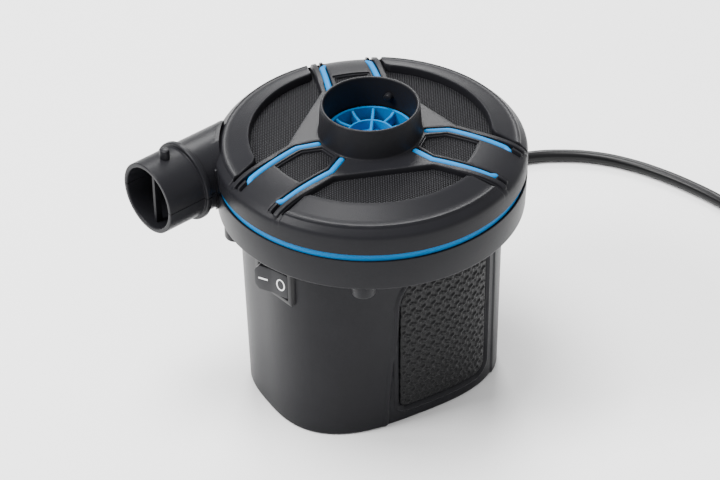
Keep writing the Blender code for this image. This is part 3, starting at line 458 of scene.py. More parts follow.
def rounded(corners, steps=4):
    """Round the corners of an open or closed list of (a, b, radius) points."""
    count = len(corners)
    points = []
    for index, (a, b, radius) in enumerate(corners):
        here = Vector((a, b))
        before = Vector(corners[index - 1][:2]) - here
        after = Vector(corners[(index + 1) % count][:2]) - here
        if radius <= 0.0:
            points.append(here)
            continue
        half = before.angle(after) / 2.0
        reach = min(radius / math.tan(half), before.length * 0.49, after.length * 0.49)
        start = here + before.normalized() * reach
        end = here + after.normalized() * reach
        for step in range(steps + 1):
            t = step / steps
            points.append(start * (1 - t) ** 2 + here * 2 * t * (1 - t) + end * t ** 2)
    return points


# ---------------- cover relief

CRESCENT_RADIUS = 50.5
CRESCENT_CHAMFER = 52.2
CRESCENT_OUTER = 70.0
# Rings of the small ridge that runs along the crescents near the rim
CREST_RADII = (60.9, 61.5, 62.1, 62.5, 62.9)
RELIEF_EDGE = 65.0
RELIEF_SPACING = 1.5
COLLAR_FOOT = 22.4
SLOT_HALF = 16.0
RIB_OUTER = 14.6
WEB_DISTANCE = 29.0
STRIP_ROUTE = ((22.4, 7.5), (30.9, 11.2), (55.6, 10.6))
STRIP_HOOK = (57.4, 9.4)
STRIP_RADIUS = 1.5
STRIP_DEPTH = 1.3
CHANNEL_HALF = 2.0
CHANNEL_DEPTH = 3.4
GROOVE_DEPTH = 1.3
PAD_REACH = 46.0
PAD_FRAME_DEPTH = 0.7
PAD_FLOOR_DEPTH = 1.7
SECTOR_REACH = 63.2
# Where a wall's own edges are along its ramp, and how much of its height it has there
RAISED = ((0.0, 0.35, 0.5, 0.7, 0.85, 1.0), (0.0, 0.78, 0.88, 0.955, 0.99, 1.0))
LOWERED = ((0.0, 0.15, 0.3, 0.5, 0.65, 1.0), (0.0, 0.01, 0.045, 0.12, 0.22, 1.0))


def shoulder(radius):
    """Height of the cover's smooth top, flat in the middle and rolling down to the rim."""
    share = np.clip((radius - 30.0) / 36.0, 0.0, 0.9999)
    return 18.0 - 9.7 * (1.0 - np.sqrt(1.0 - share ** 2))


def crescent_top(_, radius):
    """Height of the raised crescents."""
    return np.interp(
        radius, (50.0, *CREST_RADII, RELIEF_EDGE), (18.0, 13.75, 13.85, 14.05, 13.75, 13.0, 11.2),
    )


def rib_rise(_, radius):
    """Height of the ribs' ends, which stand out of the shoulder towards the rim."""
    return shoulder(radius) + 1.1 * np.clip((radius - 44.0) / 16.0, 0.0, 1.0)


def sunk(depth):
    """Height function of a floor at a depth below the shoulder."""
    return lambda _, radius: shoulder(radius) - depth


def dish(distance, radius):
    """Height of the knurled floor, a distance beyond the web's straight edge."""
    beyond = np.clip(distance, 0.0, 40.0)
    height = 14.9 + 2.75 * np.exp(-((beyond / 5.5) ** 1.1))
    drop = 2.5 * np.clip((SECTOR_REACH - radius) / 1.5, 0.0, 1.0)
    return np.minimum(height, shoulder(radius) - drop)


def signed_distance(outline, points):
    """Distance from each point to a closed outline, positive inside."""
    start = np.array([tuple(point) for point in outline])
    end = np.roll(start, -1, axis=0)
    edge = end - start
    best = np.full(len(points), 1e9)
    inside = np.zeros(len(points), bool)
    for (ax, ay), (ex, ey), by in zip(start, edge, end[:, 1]):
        dx = points[:, 0] - ax
        dy = points[:, 1] - ay
        share = np.clip((dx * ex + dy * ey) / max(ex * ex + ey * ey, 1e-12), 0.0, 1.0)
        best = np.minimum(best, np.hypot(dx - share * ex, dy - share * ey))
        crosses = (ay > points[:, 1]) != (by > points[:, 1])
        safe = np.where(abs(by - ay) < 1e-12, 1e-12, by - ay)
        inside ^= crosses & (points[:, 0] < ex * (points[:, 1] - ay) / safe + ax)
    return np.where(inside, best, -best)


def arc(radius, turns):
    """Points of a circle about the origin."""
    return [(radius * math.cos(turn), radius * math.sin(turn)) for turn in turns]


def leftward(way):
    """Direction to the left of a plan direction."""
    return Vector((-way.y, way.x))


def offset(outline, distance):
    """Move a closed outline inwards by a small distance."""
    points = [Vector(tuple(point)) for point in outline]
    area = sum(
        a.x * b.y - b.x * a.y for a, b in zip(points, points[1:] + points[:1])
    )
    side = 1.0 if area > 0.0 else -1.0
    moved = []
    for index, point in enumerate(points):
        before = (point - points[index - 1]).normalized()
        after = (points[(index + 1) % len(points)] - point).normalized()
        normal_after = leftward(after) * side
        middle = (leftward(before) * side + normal_after).normalized()
        stretch = 1.0 / max(0.35, middle.dot(normal_after))
        moved.append(point + middle * distance * stretch)
    return moved


def turned_points(outline, degrees):
    """Turn plan points about the fan axis."""
    turn = Matrix.Rotation(math.radians(degrees), 2)
    return [turn @ Vector(tuple(point)) for point in outline]


def crescent_outline():
    """One crescent, centred on the direction 0, half-way between two arms."""
    def corner(radius):
        return math.radians(60.0) - math.asin(SLOT_HALF / radius)
    inner = corner(CRESCENT_RADIUS) - 0.035
    outer = corner(CRESCENT_OUTER)
    turn = corner(CRESCENT_CHAMFER)
    first, last = arc(CRESCENT_CHAMFER, (turn, -turn))
    inside = arc(CRESCENT_RADIUS, np.linspace(-inner, inner, 49))
    outside = arc(CRESCENT_OUTER, np.linspace(outer, -outer, 49))
    return [Vector(point) for point in (*inside, first, *outside, last)]


def sector_outline():
    """One knurled sector with the gaps beside its crescent, centred on the direction 0."""
    along = Vector((math.cos(math.radians(60.0)), math.sin(math.radians(60.0))))
    across = Vector((along.y, -along.x))
    foot = (WEB_DISTANCE - RIB_OUTER * across.x) / along.x
    corner = along * foot + across * RIB_OUTER
    tip = along * math.sqrt(SECTOR_REACH ** 2 - RIB_OUTER ** 2) + across * RIB_OUTER
    limit = math.atan2(tip.y, tip.x)
    rim = arc(SECTOR_REACH, np.linspace(limit, -limit, 81)[1:-1])
    return [Vector(point) for point in ((corner.x, -corner.y), corner, tip, *rim, (tip.x, -tip.y))]


def band(route, half):
    """Outline of a band along a route of plan points, without rounding."""
    left = []
    right = []
    for index, point in enumerate(route):
        before = Vector(route[max(index - 1, 0)])
        after = Vector(route[min(index + 1, len(route) - 1)])
        normal = leftward((after - before).normalized()) * half
        left.append(Vector(point) + normal)
        right.append(Vector(point) - normal)
    return left + right[::-1]


def arm_bar(start, end, low, high, radius, start_radius=None):
    """Rounded bar in an arm's frame; low and high are its sides at the start and the end."""
    if start_radius is None:
        start_radius = radius
    return rounded([
        (start, low[0], start_radius), (end, low[1], radius),
        (end, high[1], radius), (start, high[0], start_radius),
    ])


def arm_outlines(side):
    """Outlines on one side of an arm: strip channel, two end grooves, rib's end, short rail."""
    first = Vector(STRIP_ROUTE[0])
    start = first + (first - Vector(STRIP_ROUTE[1])).normalized() * 1.4
    channel = band([tuple(start), *STRIP_ROUTE[1:], (58.4, 10.5)], CHANNEL_HALF)
    outlines = (
        rounded([(p.x, p.y, 0.8) for p in channel]),
        arm_bar(57.8, 62.9, (10.9, 10.8), (12.5, 12.3), 0.3),
        arm_bar(57.8, 62.9, (8.5, 8.5), (9.6, 9.6), 0.3),
        arm_bar(40.0, 63.6, (12.2, 12.2), (14.7, 14.7), 1.0, 0.0),
        arm_bar(58.7, 63.2, (9.5, 9.5), (11.0, 11.0), 0.6),
    )
    return [[Vector((p.x, side * p.y)) for p in outline] for outline in outlines]


def pad_outlines():
    """The recessed pad of an arm: its frame and its knurled floor, in the arm's frame."""
    edge = [(22.6, 4.2), (30.6, 8.5), (PAD_REACH - 0.6, 8.2)]
    end = arc(PAD_REACH, np.linspace(0.168, -0.168, 13))
    frame_line = [Vector(point) for point in (*edge, *end, *[(x, -y) for x, y in reversed(edge)])]
    return frame_line, offset(frame_line, 0.7)


class Relief:
    """Height field over the plan, made of features laid over each other in turn."""

    def __init__(self, base):
        self.base = base
        self.features = []

    def add(self, outline, height, ramp, profile):
        """Add a feature: its height applies inside the outline, past a ramp."""
        self.features.append((outline, height, ramp, profile))

    def heights(self, points):
        """Height at each plan point."""
        radius = np.hypot(points[:, 0], points[:, 1])
        value = self.base(radius)
        for outline, height, ramp, profile in self.features:
            share = np.interp(signed_distance(outline, points) / ramp, *profile)
            near = share > 0.0
            if near.any():
                value = np.where(near, value + (height(points, radius) - value) * share, value)
        return value

    def lines(self):
        """Closed outlines that the mesh has to follow."""
        found = []
        for outline, _, ramp, profile in self.features:
            for share in profile[0]:
                found.append(resampled(offset(outline, ramp * share), 1.6))
        return found


def resampled(outline, step):
    """Split the long edges of a closed outline."""
    points = []
    for start, end in zip(outline, outline[1:] + outline[:1]):
        parts = max(1, math.ceil((end - start).length / step))
        points.extend(start.lerp(end, part / parts) for part in range(parts))
    return points


def cover_relief():
    """The whole relief of the cover."""
    relief = Relief(shoulder)
    for arm in ARM_ANGLES:
        middle = arm + 60.0
        direction = math.radians(middle)

        def sector_height(points, radius, direction=direction):
            distance = points[:, 0] * math.cos(direction) + points[:, 1] * math.sin(direction)
            return dish(distance - WEB_DISTANCE, radius)
        relief.add(turned_points(sector_outline(), middle), sector_height, 0.7, LOWERED)
        relief.add(turned_points(crescent_outline(), middle), crescent_top, 0.8, RAISED)
        for side in (1.0, -1.0):
            channel, outer_groove, inner_groove, rib, rail = (
                turned_points(outline, arm) for outline in arm_outlines(side)
            )
            relief.add(channel, sunk(CHANNEL_DEPTH), 0.5, LOWERED)
            relief.add(rib, rib_rise, 0.5, RAISED)
            relief.add(outer_groove, sunk(GROOVE_DEPTH), 0.35, LOWERED)
            relief.add(inner_groove, sunk(GROOVE_DEPTH), 0.35, LOWERED)
            relief.add(rail, rib_rise, 0.4, RAISED)
        frame_line, floor_line = pad_outlines()
        relief.add(turned_points(frame_line, arm), sunk(PAD_FRAME_DEPTH), 0.3, LOWERED)
        relief.add(turned_points(floor_line, arm), sunk(PAD_FLOOR_DEPTH), 0.4, LOWERED)
    return relief


def circle(radius, count):
    """Evenly spaced points of a circle about the origin."""
    return arc(radius, [math.tau * k / count for k in range(count)])


def add_loop(points, edges, loop):
    """Add a closed loop to the points and edges of a plan."""
    start = len(points)
    count = len(loop)
    points.extend((point[0], point[1]) for point in loop)
    edges.extend((start + index, start + (index + 1) % count) for index in range(count))


def loose_points(inner, outer, taken):
    """Plan points on rings between two radii, clear of the crest and of the points taken."""
    grid = []
    rings = int((outer - inner) / RELIEF_SPACING)
    for ring in range(1, rings):
        radius = inner + (outer - inner) * ring / rings
        count = max(24, int(math.tau * radius / RELIEF_SPACING))
        turns = [math.tau * (k + 0.5 * (ring % 2)) / count for k in range(count)]
        if not 60.0 < radius < 63.8:
            grid.extend(arc(radius, turns))
    grid = np.array(grid)
    keep = np.ones(len(grid), bool)
    for chunk in np.array_split(taken, 40):
        apart = np.hypot(
            grid[:, None, 0] - chunk[None, :, 0], grid[:, None, 1] - chunk[None, :, 1],
        )
        keep &= apart.min(axis=1) > 0.7
    return grid[keep]


def relief_mesh(relief, inner, outer):
    """Triangulate the relief between two radii; also return both border loops."""
    points = []
    edges = []
    for loop in (circle(inner, 120), circle(outer, 360), *relief.lines()):
        add_loop(points, edges, loop)
    taken = np.array(points)
    points.extend(map(tuple, loose_points(inner, outer, taken)))
    for radius in CREST_RADII:
        for point in circle(radius, 360):
            if np.hypot(taken[:, 0] - point[0], taken[:, 1] - point[1]).min() > 0.3:
                points.append(point)
    made, _, faces, *_ = delaunay_2d_cdt([Vector(point) for point in points], edges, [], 0, 1e-5)
    plan = np.array([tuple(point) for point in made])
    radius = np.hypot(plan[:, 0], plan[:, 1])
    kept = []
    for face in faces:
        middle = np.hypot(*plan[list(face)].mean(axis=0))
        if inner < middle < outer and radius[list(face)].max() < outer + 1e-3:
            kept.append(tuple(face))
    used = sorted({index for face in kept for index in face})
    place = {old: new for new, old in enumerate(used)}
    plan = plan[used]
    radius = radius[used]
    faces = [tuple(place[index] for index in face) for face in kept]
    angle = np.arctan2(plan[:, 1], plan[:, 0])

    def border(limit):
        found = np.nonzero(abs(radius - limit) < 2e-2)[0]
        return found[np.argsort(angle[found])]
    return plan, relief.heights(plan), faces, border(inner), border(outer)


def knurled(plan):
    """True for plan points on the knurled floors."""
    found = np.zeros(len(plan), bool)
    for arm in ARM_ANGLES:
        sector = turned_points(offset(sector_outline(), 0.75), arm + 60.0)
        crescent = turned_points(crescent_outline(), arm + 60.0)
        pad = turned_points(offset(pad_outlines()[1], 0.4), arm)
        found |= (signed_distance(sector, plan) > 0.0) & (signed_distance(crescent, plan) < 0.0)
        found |= signed_distance(pad, plan) > 0.0
    return found


# ---------------- drum

CHAMBER_RADIUS = 62.4
GROOVE_RADIUS = 63.0
GROOVE_HALF = 1.9
HALF_GAP = 0.15
COLLAR_BORE = 19.5
TUBE_Y = 44.1
TUBE_RADIUS = 15.9
TUBE_BORE = 13.7
TUBE_RING = (-66.6, -64.0, 17.5)
TUBE_ROOT_X = -40.0
TUBE_PIN_X = -74.5
TUBE_BORE_TOP = 8.4
# Radius at which the tube's half shells end on the drum's wall
DRUM_CUT = 65.2
FLANGE_RADIUS = 17.0
FLANGE_DEPTH = (63.4, 66.6)
FLANGE_TOP = 9.4
FLANGE_BOTTOM = -12.6
# Heights of the piece of wall that closes the drum over the tube's root
CLOSING_SPAN = (8.6, 15.4)
GUARD_BAR_X = (-81.2, -78.2)
GUARD_BAR_HALF = 0.75
CHAMBER_FLOOR = -13.3
HOUSING_FOOT = -16.1
HOUSING_LIP = (65.35, -1.25)
BOSS_ANGLES = (159.0, 226.0, 339.0, 46.0)
BOSS_CENTRE_RADIUS = 60.3
# Directions in degrees between which the blue ring runs; the tube fills the rest
TRIM_SPAN = (154.6, 469.4)


def ring_loop(bm, border, radius, height_of):
    """New loop of points at a radius, one for each point of a border."""
    made = []
    for vert in border:
        turn = math.atan2(vert.co.y, vert.co.x)
        made.append(bm.verts.new((
            radius * math.cos(turn), radius * math.sin(turn), height_of(vert.co.z),
        )))
    return made


def joined_loops(bm, first, second):
    """Faces between two loops with the same count of points."""
    count = len(first)
    for index in range(count):
        after = (index + 1) % count
        bm.faces.new((first[index], first[after], second[after], second[index]))


def swept(bm, loop, profile):
    """Carry a loop along (radius, height) points and return the last one."""
    for radius, z in profile:
        after = ring_loop(bm, loop, radius, lambda _, z=z: z)
        joined_loops(bm, loop, after)
        loop = after
    return loop


def loop_edges(bm, loop):
    """Edges around a loop of points."""
    return [bm.edges.get((a, b)) for a, b in zip(loop, loop[1:] + loop[:1])]


def cover_shell():
    """Closed mesh of the cover: relief, collar, side wall, groove and underside."""
    plan, height, faces, inner, outer = relief_mesh(cover_relief(), COLLAR_FOOT, RELIEF_EDGE)
    bm = bmesh.new()
    verts = [bm.verts.new((x, y, z)) for (x, y), z in zip(plan, height)]
    centres = np.array([plan[list(face)].mean(axis=0) for face in faces])
    for face, rough in zip(faces, knurled(centres)):
        made = bm.faces.new([verts[index] for index in face])
        made.material_index = int(rough)
    rim = [verts[index] for index in outer]
    loop = rim
    wall = ((65.35, 0.0, 0.4), (65.65, 0.0, 0.9), (65.85, 0.0, 1.5), (65.97, 0.0, 2.2),
            (66.0, 0.5, 0.8), (66.0, 0.97, 0.0))
    for radius, share, drop in wall:
        after = ring_loop(
            bm, rim, radius,
            lambda z, share=share, drop=drop: z + (GROOVE_HALF - z) * share - drop,
        )
        joined_loops(bm, loop, after)
        loop = after
    under = swept(bm, loop, (
        (65.75, GROOVE_HALF), (GROOVE_RADIUS, GROOVE_HALF), (GROOVE_RADIUS, HALF_GAP),
        (CHAMBER_RADIUS, HALF_GAP), (62.0, 6.0), (58.0, 9.6), (46.0, 10.9),
    ))
    collar = swept(bm, [verts[index] for index in inner], (
        (22.1, 18.05), (21.9, 18.25), (21.75, 18.7), (20.9, 30.9), (20.8, 31.25), (20.6, 31.5),
        (20.35, 31.6), (20.0, 31.6), (19.75, 31.5), (19.58, 31.3), (COLLAR_BORE, 31.0),
        (COLLAR_BORE, 13.4), (24.0, 12.4),
    ))
    bmesh.ops.bridge_loops(bm, edges=loop_edges(bm, under) + loop_edges(bm, collar))
    mesh = bpy.data.meshes.new("top_cover")
    for finish in (BLACK, KNURL):
        mesh.materials.append(finish.material)
    bm.to_mesh(mesh)
    bm.free()
    outward(mesh)
    return mesh


def tube_half(name, upper):
    """Half of the outlet tube with its stop ring."""
    end = TUBE_END_X
    left, right, ring = TUBE_RING
    profile = rounded([
        (TUBE_RADIUS, TUBE_ROOT_X, 0.0), (TUBE_RADIUS, right, 0.3), (ring, right, 0.7),
        (ring, left, 0.7), (TUBE_RADIUS, left, 0.3), (TUBE_RADIUS, end, 0.4),
        (TUBE_BORE + 0.1, end, 0.7), (TUBE_BORE, TUBE_ROOT_X, 0.0),
    ])
    edge = HALF_GAP / TUBE_RADIUS
    start = edge if upper else math.pi + edge
    rings = []
    for turn in np.linspace(start, start + math.pi - 2.0 * edge, 97):
        rings.append([
            (x, TUBE_Y + r * math.cos(turn), r * math.sin(turn)) for r, x in profile
        ])
    tube = stitched(name, rings)
    return carved(tube, column("drum", ((DRUM_CUT, -30.0), (DRUM_CUT, 30.0)), 384))


def flange(low, high, radius):
    """Thin lip on the drum's wall around the root of the tube."""
    rim = column("flange", ((radius, 0.0), (radius, 32.0)), 128)
    aimed(rim, (-70.0, TUBE_Y, 0.0), (1.0, 0.0, 0.0))
    inner, outer = FLANGE_DEPTH
    drum = lathe("drum", ((inner, low), (outer, low), (outer, high), (inner, high)), 384)
    return carved(drum, rim, "INTERSECT")


def tube_bore():
    """Cutter for the tube's passage through the drum wall."""
    bore = column("bore", ((TUBE_BORE + 0.4, 0.0), (TUBE_BORE + 0.4, 50.0)))
    aimed(bore, (-70.0, TUBE_Y, 0.0), (1.0, 0.0, 0.0))
    return carved(bore, box_mesh("above", (-90.0, 0.0, TUBE_BORE_TOP), (0.0, 90.0, 30.0)))


def pin(radius, length, start, direction):
    """Round pin with a rounded tip."""
    made = column("pin", (
        (radius, 0.0), (radius, length - 0.7), (radius - 0.2, length - 0.25), (radius - 0.7, length),
    ), 48)
    return aimed(made, start, direction)


def cover():
    """Top cover with the collar, the upper half of the outlet tube and its pins."""
    shell = carved(cover_shell(), tube_bore())
    turn = math.radians(25.0)
    inward = Vector((math.cos(turn), math.sin(turn), 0.0))
    inner = inward * (COLLAR_BORE + 0.4)
    pins = (
        pin(2.1, 5.2, (TUBE_PIN_X, TUBE_Y, TUBE_RADIUS - 1.0), (0.0, 0.0, 1.0)),
        pin(1.8, 2.9, (inner.x, inner.y, COLLAR_TOP - 8.5), -inward),
    )
    lip = carved(flange(HALF_GAP, FLANGE_TOP, FLANGE_RADIUS), tube_bore())
    closing = flange(*CLOSING_SPAN, TUBE_RADIUS + 0.1)
    mesh = gathered("top_cover", [shell, tube_half("tube_upper", True), lip, closing, *pins])
    mesh.transform(Matrix.Translation((0.0, 0.0, PARTING_Z)))
    placed("drum_cover", mesh, (BLACK, KNURL), "top_cover")


def screw_boss(angle):
    """Boss under the rim with its screw hole, cut back where the body stands."""
    turn = math.radians(angle)
    centre = (BOSS_CENTRE_RADIUS * math.cos(turn), BOSS_CENTRE_RADIUS * math.sin(turn))
    boss = column("boss", (
        (3.4, -18.3), (3.4, -20.8), (3.7, -21.1), (4.2, -21.1), (4.75, -20.8), (5.0, -20.2),
        (5.0, -15.0),
    ), 64, centre)
    rings = body_rings((-30.0, -10.0), -0.3)
    return carved(boss, stitched("body", rings))


def body_rings(heights, inset):
    """Rings of the body's plan, inset from its outer face, at heights on the drum."""
    rings = []
    for z in heights:
        grow = BODY_DRAFT * (z + PARTING_Z) / BODY_TOP - inset
        turns = np.linspace(0.0, math.tau, 160, endpoint=False)
        rings.append([(*body_plan(turn, grow), z) for turn in turns])
    return rings


def yawed(x, y):
    """Turn plan coordinates from the body's frame to the object's."""
    yaw = math.radians(BODY_YAW)
    return x * math.cos(yaw) - y * math.sin(yaw), x * math.sin(yaw) + y * math.cos(yaw)


def superellipse(turn, power):
    """Point of a superellipse one unit long and wide either way."""
    cosine = math.cos(turn)
    sine = math.sin(turn)
    return math.copysign(abs(cosine) ** power, cosine), math.copysign(abs(sine) ** power, sine)


def body_plan(turn, grow):
    """Plan point of the body's superellipse, grown outwards, in the object's frame."""
    x, y = superellipse(turn, 2.0 / BODY_EXPONENT)
    return yawed((BODY_HALF_LENGTH + grow) * x, (BODY_HALF_WIDTH + grow) * y)


def housing():
    """Lower half of the drum with its floor, bosses and the lower half of the tube."""
    lip, lip_z = HOUSING_LIP
    profile = rounded([
        (GROOVE_RADIUS, -HALF_GAP, 0.0), (CHAMBER_RADIUS, -HALF_GAP, 0.0),
        (CHAMBER_RADIUS, CHAMBER_FLOOR, 1.5), (8.0, CHAMBER_FLOOR, 0.0), (8.0, HOUSING_FOOT, 0.0),
        (65.3, HOUSING_FOOT, 1.2), (66.0, lip_z, 0.3), (lip, lip_z, 0.15), (lip, -GROOVE_HALF, 0.0),
        (GROOVE_RADIUS, -GROOVE_HALF, 0.0),
    ])
    shell = carved(lathe("lower_housing", [tuple(p) for p in profile], 384), tube_bore())
    bar = box_mesh(
        "guard_bar", (GUARD_BAR_X[0], TUBE_Y - GUARD_BAR_HALF, -TUBE_BORE - 1.0),
        (GUARD_BAR_X[1], TUBE_Y + GUARD_BAR_HALF, TUBE_BORE - 0.6),
    )
    rim = carved(flange(FLANGE_BOTTOM, -HALF_GAP, FLANGE_RADIUS), tube_bore())
    bosses = [screw_boss(angle) for angle in BOSS_ANGLES]
    mesh = gathered("lower_housing", [shell, tube_half("tube_lower", False), rim, bar, *bosses])
    mesh.transform(Matrix.Translation((0.0, 0.0, PARTING_Z)))
    placed("drum_housing", mesh, (BLACK,), "lower_housing")


def trim_ring():
    """Blue ring set back in the groove, open at the tube."""
    inner = GROOVE_RADIUS + 0.3
    profile = rounded([
        (inner, -1.6, 0.0), (inner, 1.6, 0.0), (64.25, 1.6, 0.4), (64.95, -1.6, 0.3),
    ])
    rings = []
    for turn in np.radians(np.linspace(*TRIM_SPAN, 361)):
        rings.append([
            (r * math.cos(turn), r * math.sin(turn), PARTING_Z + z) for r, z in profile
        ])
    placed("blue_ring", stitched("trim_ring", rings), (BLUE,), "trim_ring")


def rope(name, route, radius, sides=20):
    """Round bar along a route, with rounded ends."""
    points = [Vector(point) for point in route]
    last = len(points) - 1
    stations = []
    for index, point in enumerate(points):
        way = (points[min(index + 1, last)] - points[max(index - 1, 0)]).normalized()
        stations.append((point, way, 1.0))
    (start, start_way, _), (end, end_way, _) = stations[0], stations[-1]
    for turn in np.linspace(0.0, 1.45, 5)[1:]:
        share = math.cos(turn)
        stations.insert(0, (start - start_way * math.sin(turn) * radius, start_way, share))
        stations.append((end + end_way * math.sin(turn) * radius, end_way, share))
    rings = []
    for centre, way, share in stations:
        side = way.cross(Vector((0.0, 0.0, 1.0))).normalized()
        up = side.cross(way)
        rings.append([
            tuple(centre + (side * math.cos(a) + up * math.sin(a)) * radius * share)
            for a in np.linspace(0.0, math.tau, sides, endpoint=False)
        ])
    return stitched(name, rings)


def accent_strips():
    """Six blue strips in their channels, bent at the web and hooked at the end."""
    radii = (0.0, 4.0, 1.2, 0.0)
    corners = [(*point, radius) for point, radius in zip((*STRIP_ROUTE, STRIP_HOOK), radii)]
    flat = rounded(corners, 6)
    plan = []
    for start, end in zip(flat, flat[1:]):
        parts = max(1, math.ceil((end - start).length / 1.5))
        plan.extend(start.lerp(end, part / parts) for part in range(parts))
    plan.append(flat[-1])
    for arm_name, arm in zip("abc", ARM_ANGLES):
        for side_name, side in (("left", -1.0), ("right", 1.0)):
            route = []
            for point in plan:
                x, y = turned_points([(point.x, side * point.y)], arm)[0]
                z = PARTING_Z + float(shoulder(point.length)) - STRIP_DEPTH
                route.append((x, y, z))
            name = f"accent_strip_{arm_name}_{side_name}"
            placed(f"blue_{name}", rope(name, route, STRIP_RADIUS), (BLUE,), name)


# ---------------- body

BODY_YAW = -10.8
BODY_HALF_LENGTH = 53.5
BODY_HALF_WIDTH = 41.2
BODY_EXPONENT = 2.8
BODY_DRAFT = 1.6
BODY_WALL = 2.2
BODY_FOOT = 1.2
PANEL_HEIGHTS = (0.0, 30.0, 50.0, 62.0, 68.0, 72.5, 76.5, 82.0, 91.0)
PANEL_LEFT = (-17.0, -14.6, -12.4, -11.0, -9.0, -6.0, -1.0, 8.0, 24.0)
PANEL_RIGHT = 41.0
PANEL_DEPTH = 0.6
PAD_LEFT = -10.5
PAD_RIGHT = 34.5
PAD_BOTTOM = 8.0
PAD_TOP = 80.0
PAD_BACK = -1.3
PAD_FACE = -0.45
PAD_SEAT = -1.6
BEAD_DISTANCE = 2.0
BEAD_HALF = 1.0
BEAD_HEIGHT = 0.85
SWITCH_PLACE = (-56.5, -2.3, 77.2)
# Half sizes of the seat behind the bezel and of the hole through the wall
SWITCH_SEAT = (10.9, 7.9)
SWITCH_HOLE = (9.9, 6.9)
CORD_EXIT_RADIUS = 5.9
CORD_EXIT_ANGLE = 35.0
CORD_EXIT_Z = 14.0


def pad_outline():
    """Outline of the grip pad: along the side and height."""
    corners = (
        (PAD_RIGHT - 6.0, PAD_BOTTOM + 6.0, 6.0, -90.0),
        (PAD_RIGHT - 6.0, PAD_TOP - 6.0, 6.0, 0.0),
        (PAD_LEFT + 18.0, PAD_TOP - 18.0, 18.0, 90.0),
        (PAD_LEFT + 3.6, PAD_BOTTOM + 3.6, 3.6, 180.0),
    )
    points = []
    for along, height, radius, start in corners:
        for turn in np.radians(np.linspace(start, start + 90.0, 13)):
            points.append(Vector((
                along + radius * math.cos(turn), height + radius * math.sin(turn),
            )))
    return points


def step(value, width):
    """Ease from 0 to 1 over a width."""
    share = np.clip(value / width, 0.0, 1.0)
    return share * share * (3.0 - 2.0 * share)


def side_relief(points):
    """How far the side stands out at points (along, height): panel, bead and pad seat."""
    along = points[:, 0]
    height = points[:, 1]
    left = np.interp(height, PANEL_HEIGHTS, PANEL_LEFT)
    panel = step(along - left, 0.9) * step(PANEL_RIGHT - along, 0.9)
    value = -PANEL_DEPTH * panel
    lip = np.exp(-(((along - left + 0.9) / 0.9) ** 2))
    value += 0.22 * lip
    outside = -signed_distance(pad_outline(), points)
    across = np.clip(abs(outside - BEAD_DISTANCE) / BEAD_HALF, 0.0, 1.0)
    value += BEAD_HEIGHT * (1.0 - across ** 2) ** 0.7
    seat = step(0.5 - outside, 0.5)
    return value * (1.0 - seat) + PAD_SEAT * seat


def side_point(along, grow):
    """Distance out and outward normal, in the body's frame, on a long side."""
    length = BODY_HALF_LENGTH + grow
    width = BODY_HALF_WIDTH + grow
    share = np.clip(abs(along) / length, 0.0, 0.9999)
    across = width * (1.0 - share ** BODY_EXPONENT) ** (1.0 / BODY_EXPONENT)
    slope_x = np.sign(along) * share ** (BODY_EXPONENT - 1.0) / length
    slope_y = (across / width) ** (BODY_EXPONENT - 1.0) / width
    size = np.hypot(slope_x, slope_y)
    return across, slope_x / size, slope_y / size


def body_columns():
    """Directions around the body: close together beside the pads, wider at the ends."""
    fine = np.arange(-21.0, 44.01, 0.5)
    alongs = np.concatenate([np.linspace(-46.0, -22.5, 12), fine])
    alongs = np.append(alongs, 45.6)
    turns = []
    for side in (1.0, -1.0):
        shares = (abs(alongs) / BODY_HALF_LENGTH) ** (BODY_EXPONENT / 2.0)
        place = np.arccos(np.sign(alongs) * shares)
        turns.append(np.sort(math.tau - place if side > 0.0 else math.pi - place))
    first, second = turns
    ends = []
    for start, end in ((first[-1] - math.tau, second[0]), (second[-1], first[0])):
        ends.append(np.linspace(start, end, 61)[1:-1])
    every = np.concatenate([second, ends[1], first, ends[0] % math.tau])
    return np.unique(np.round(every % math.tau, 9))


def body_surface(turns, heights):
    """Grid of the body's outer points, shaped by the side relief."""
    rows = []
    power = 2.0 / BODY_EXPONENT
    cosine = np.cos(turns)
    sine = np.sin(turns)
    for z in heights:
        grow = BODY_DRAFT * z / BODY_TOP
        inset = BODY_FOOT - math.sqrt(max(0.0, BODY_FOOT ** 2 - max(0.0, BODY_FOOT - z) ** 2))
        length = BODY_HALF_LENGTH + grow
        width = BODY_HALF_WIDTH + grow
        x = length * np.sign(cosine) * abs(cosine) ** power
        y = width * np.sign(sine) * abs(sine) ** power
        normal_x = np.sign(x) * (abs(x) / length) ** (BODY_EXPONENT - 1.0) / length
        normal_y = np.sign(y) * (abs(y) / width) ** (BODY_EXPONENT - 1.0) / width
        size = np.hypot(normal_x, normal_y)
        side = -np.sign(y)
        points = np.stack([side * x, np.full(len(x), z)], axis=1)
        stand = side_relief(points) - inset
        stand = np.where(abs(y) > 0.35 * width, stand, -inset)
        plan = yawed(x + normal_x / size * stand, y + normal_y / size * stand)
        rows.append(np.stack([*plan, np.full(len(x), z)], axis=1))
    return rows


def switch_block(front, back, halves, radius):
    """Cutter with rounded edges at the switch, between two depths behind its face."""
    x = SWITCH_PLACE[0]
    return stitched("block", [
        rectangle_ring(x + depth, *halves, radius, SWITCH_PLACE) for depth in (front, back)
    ])


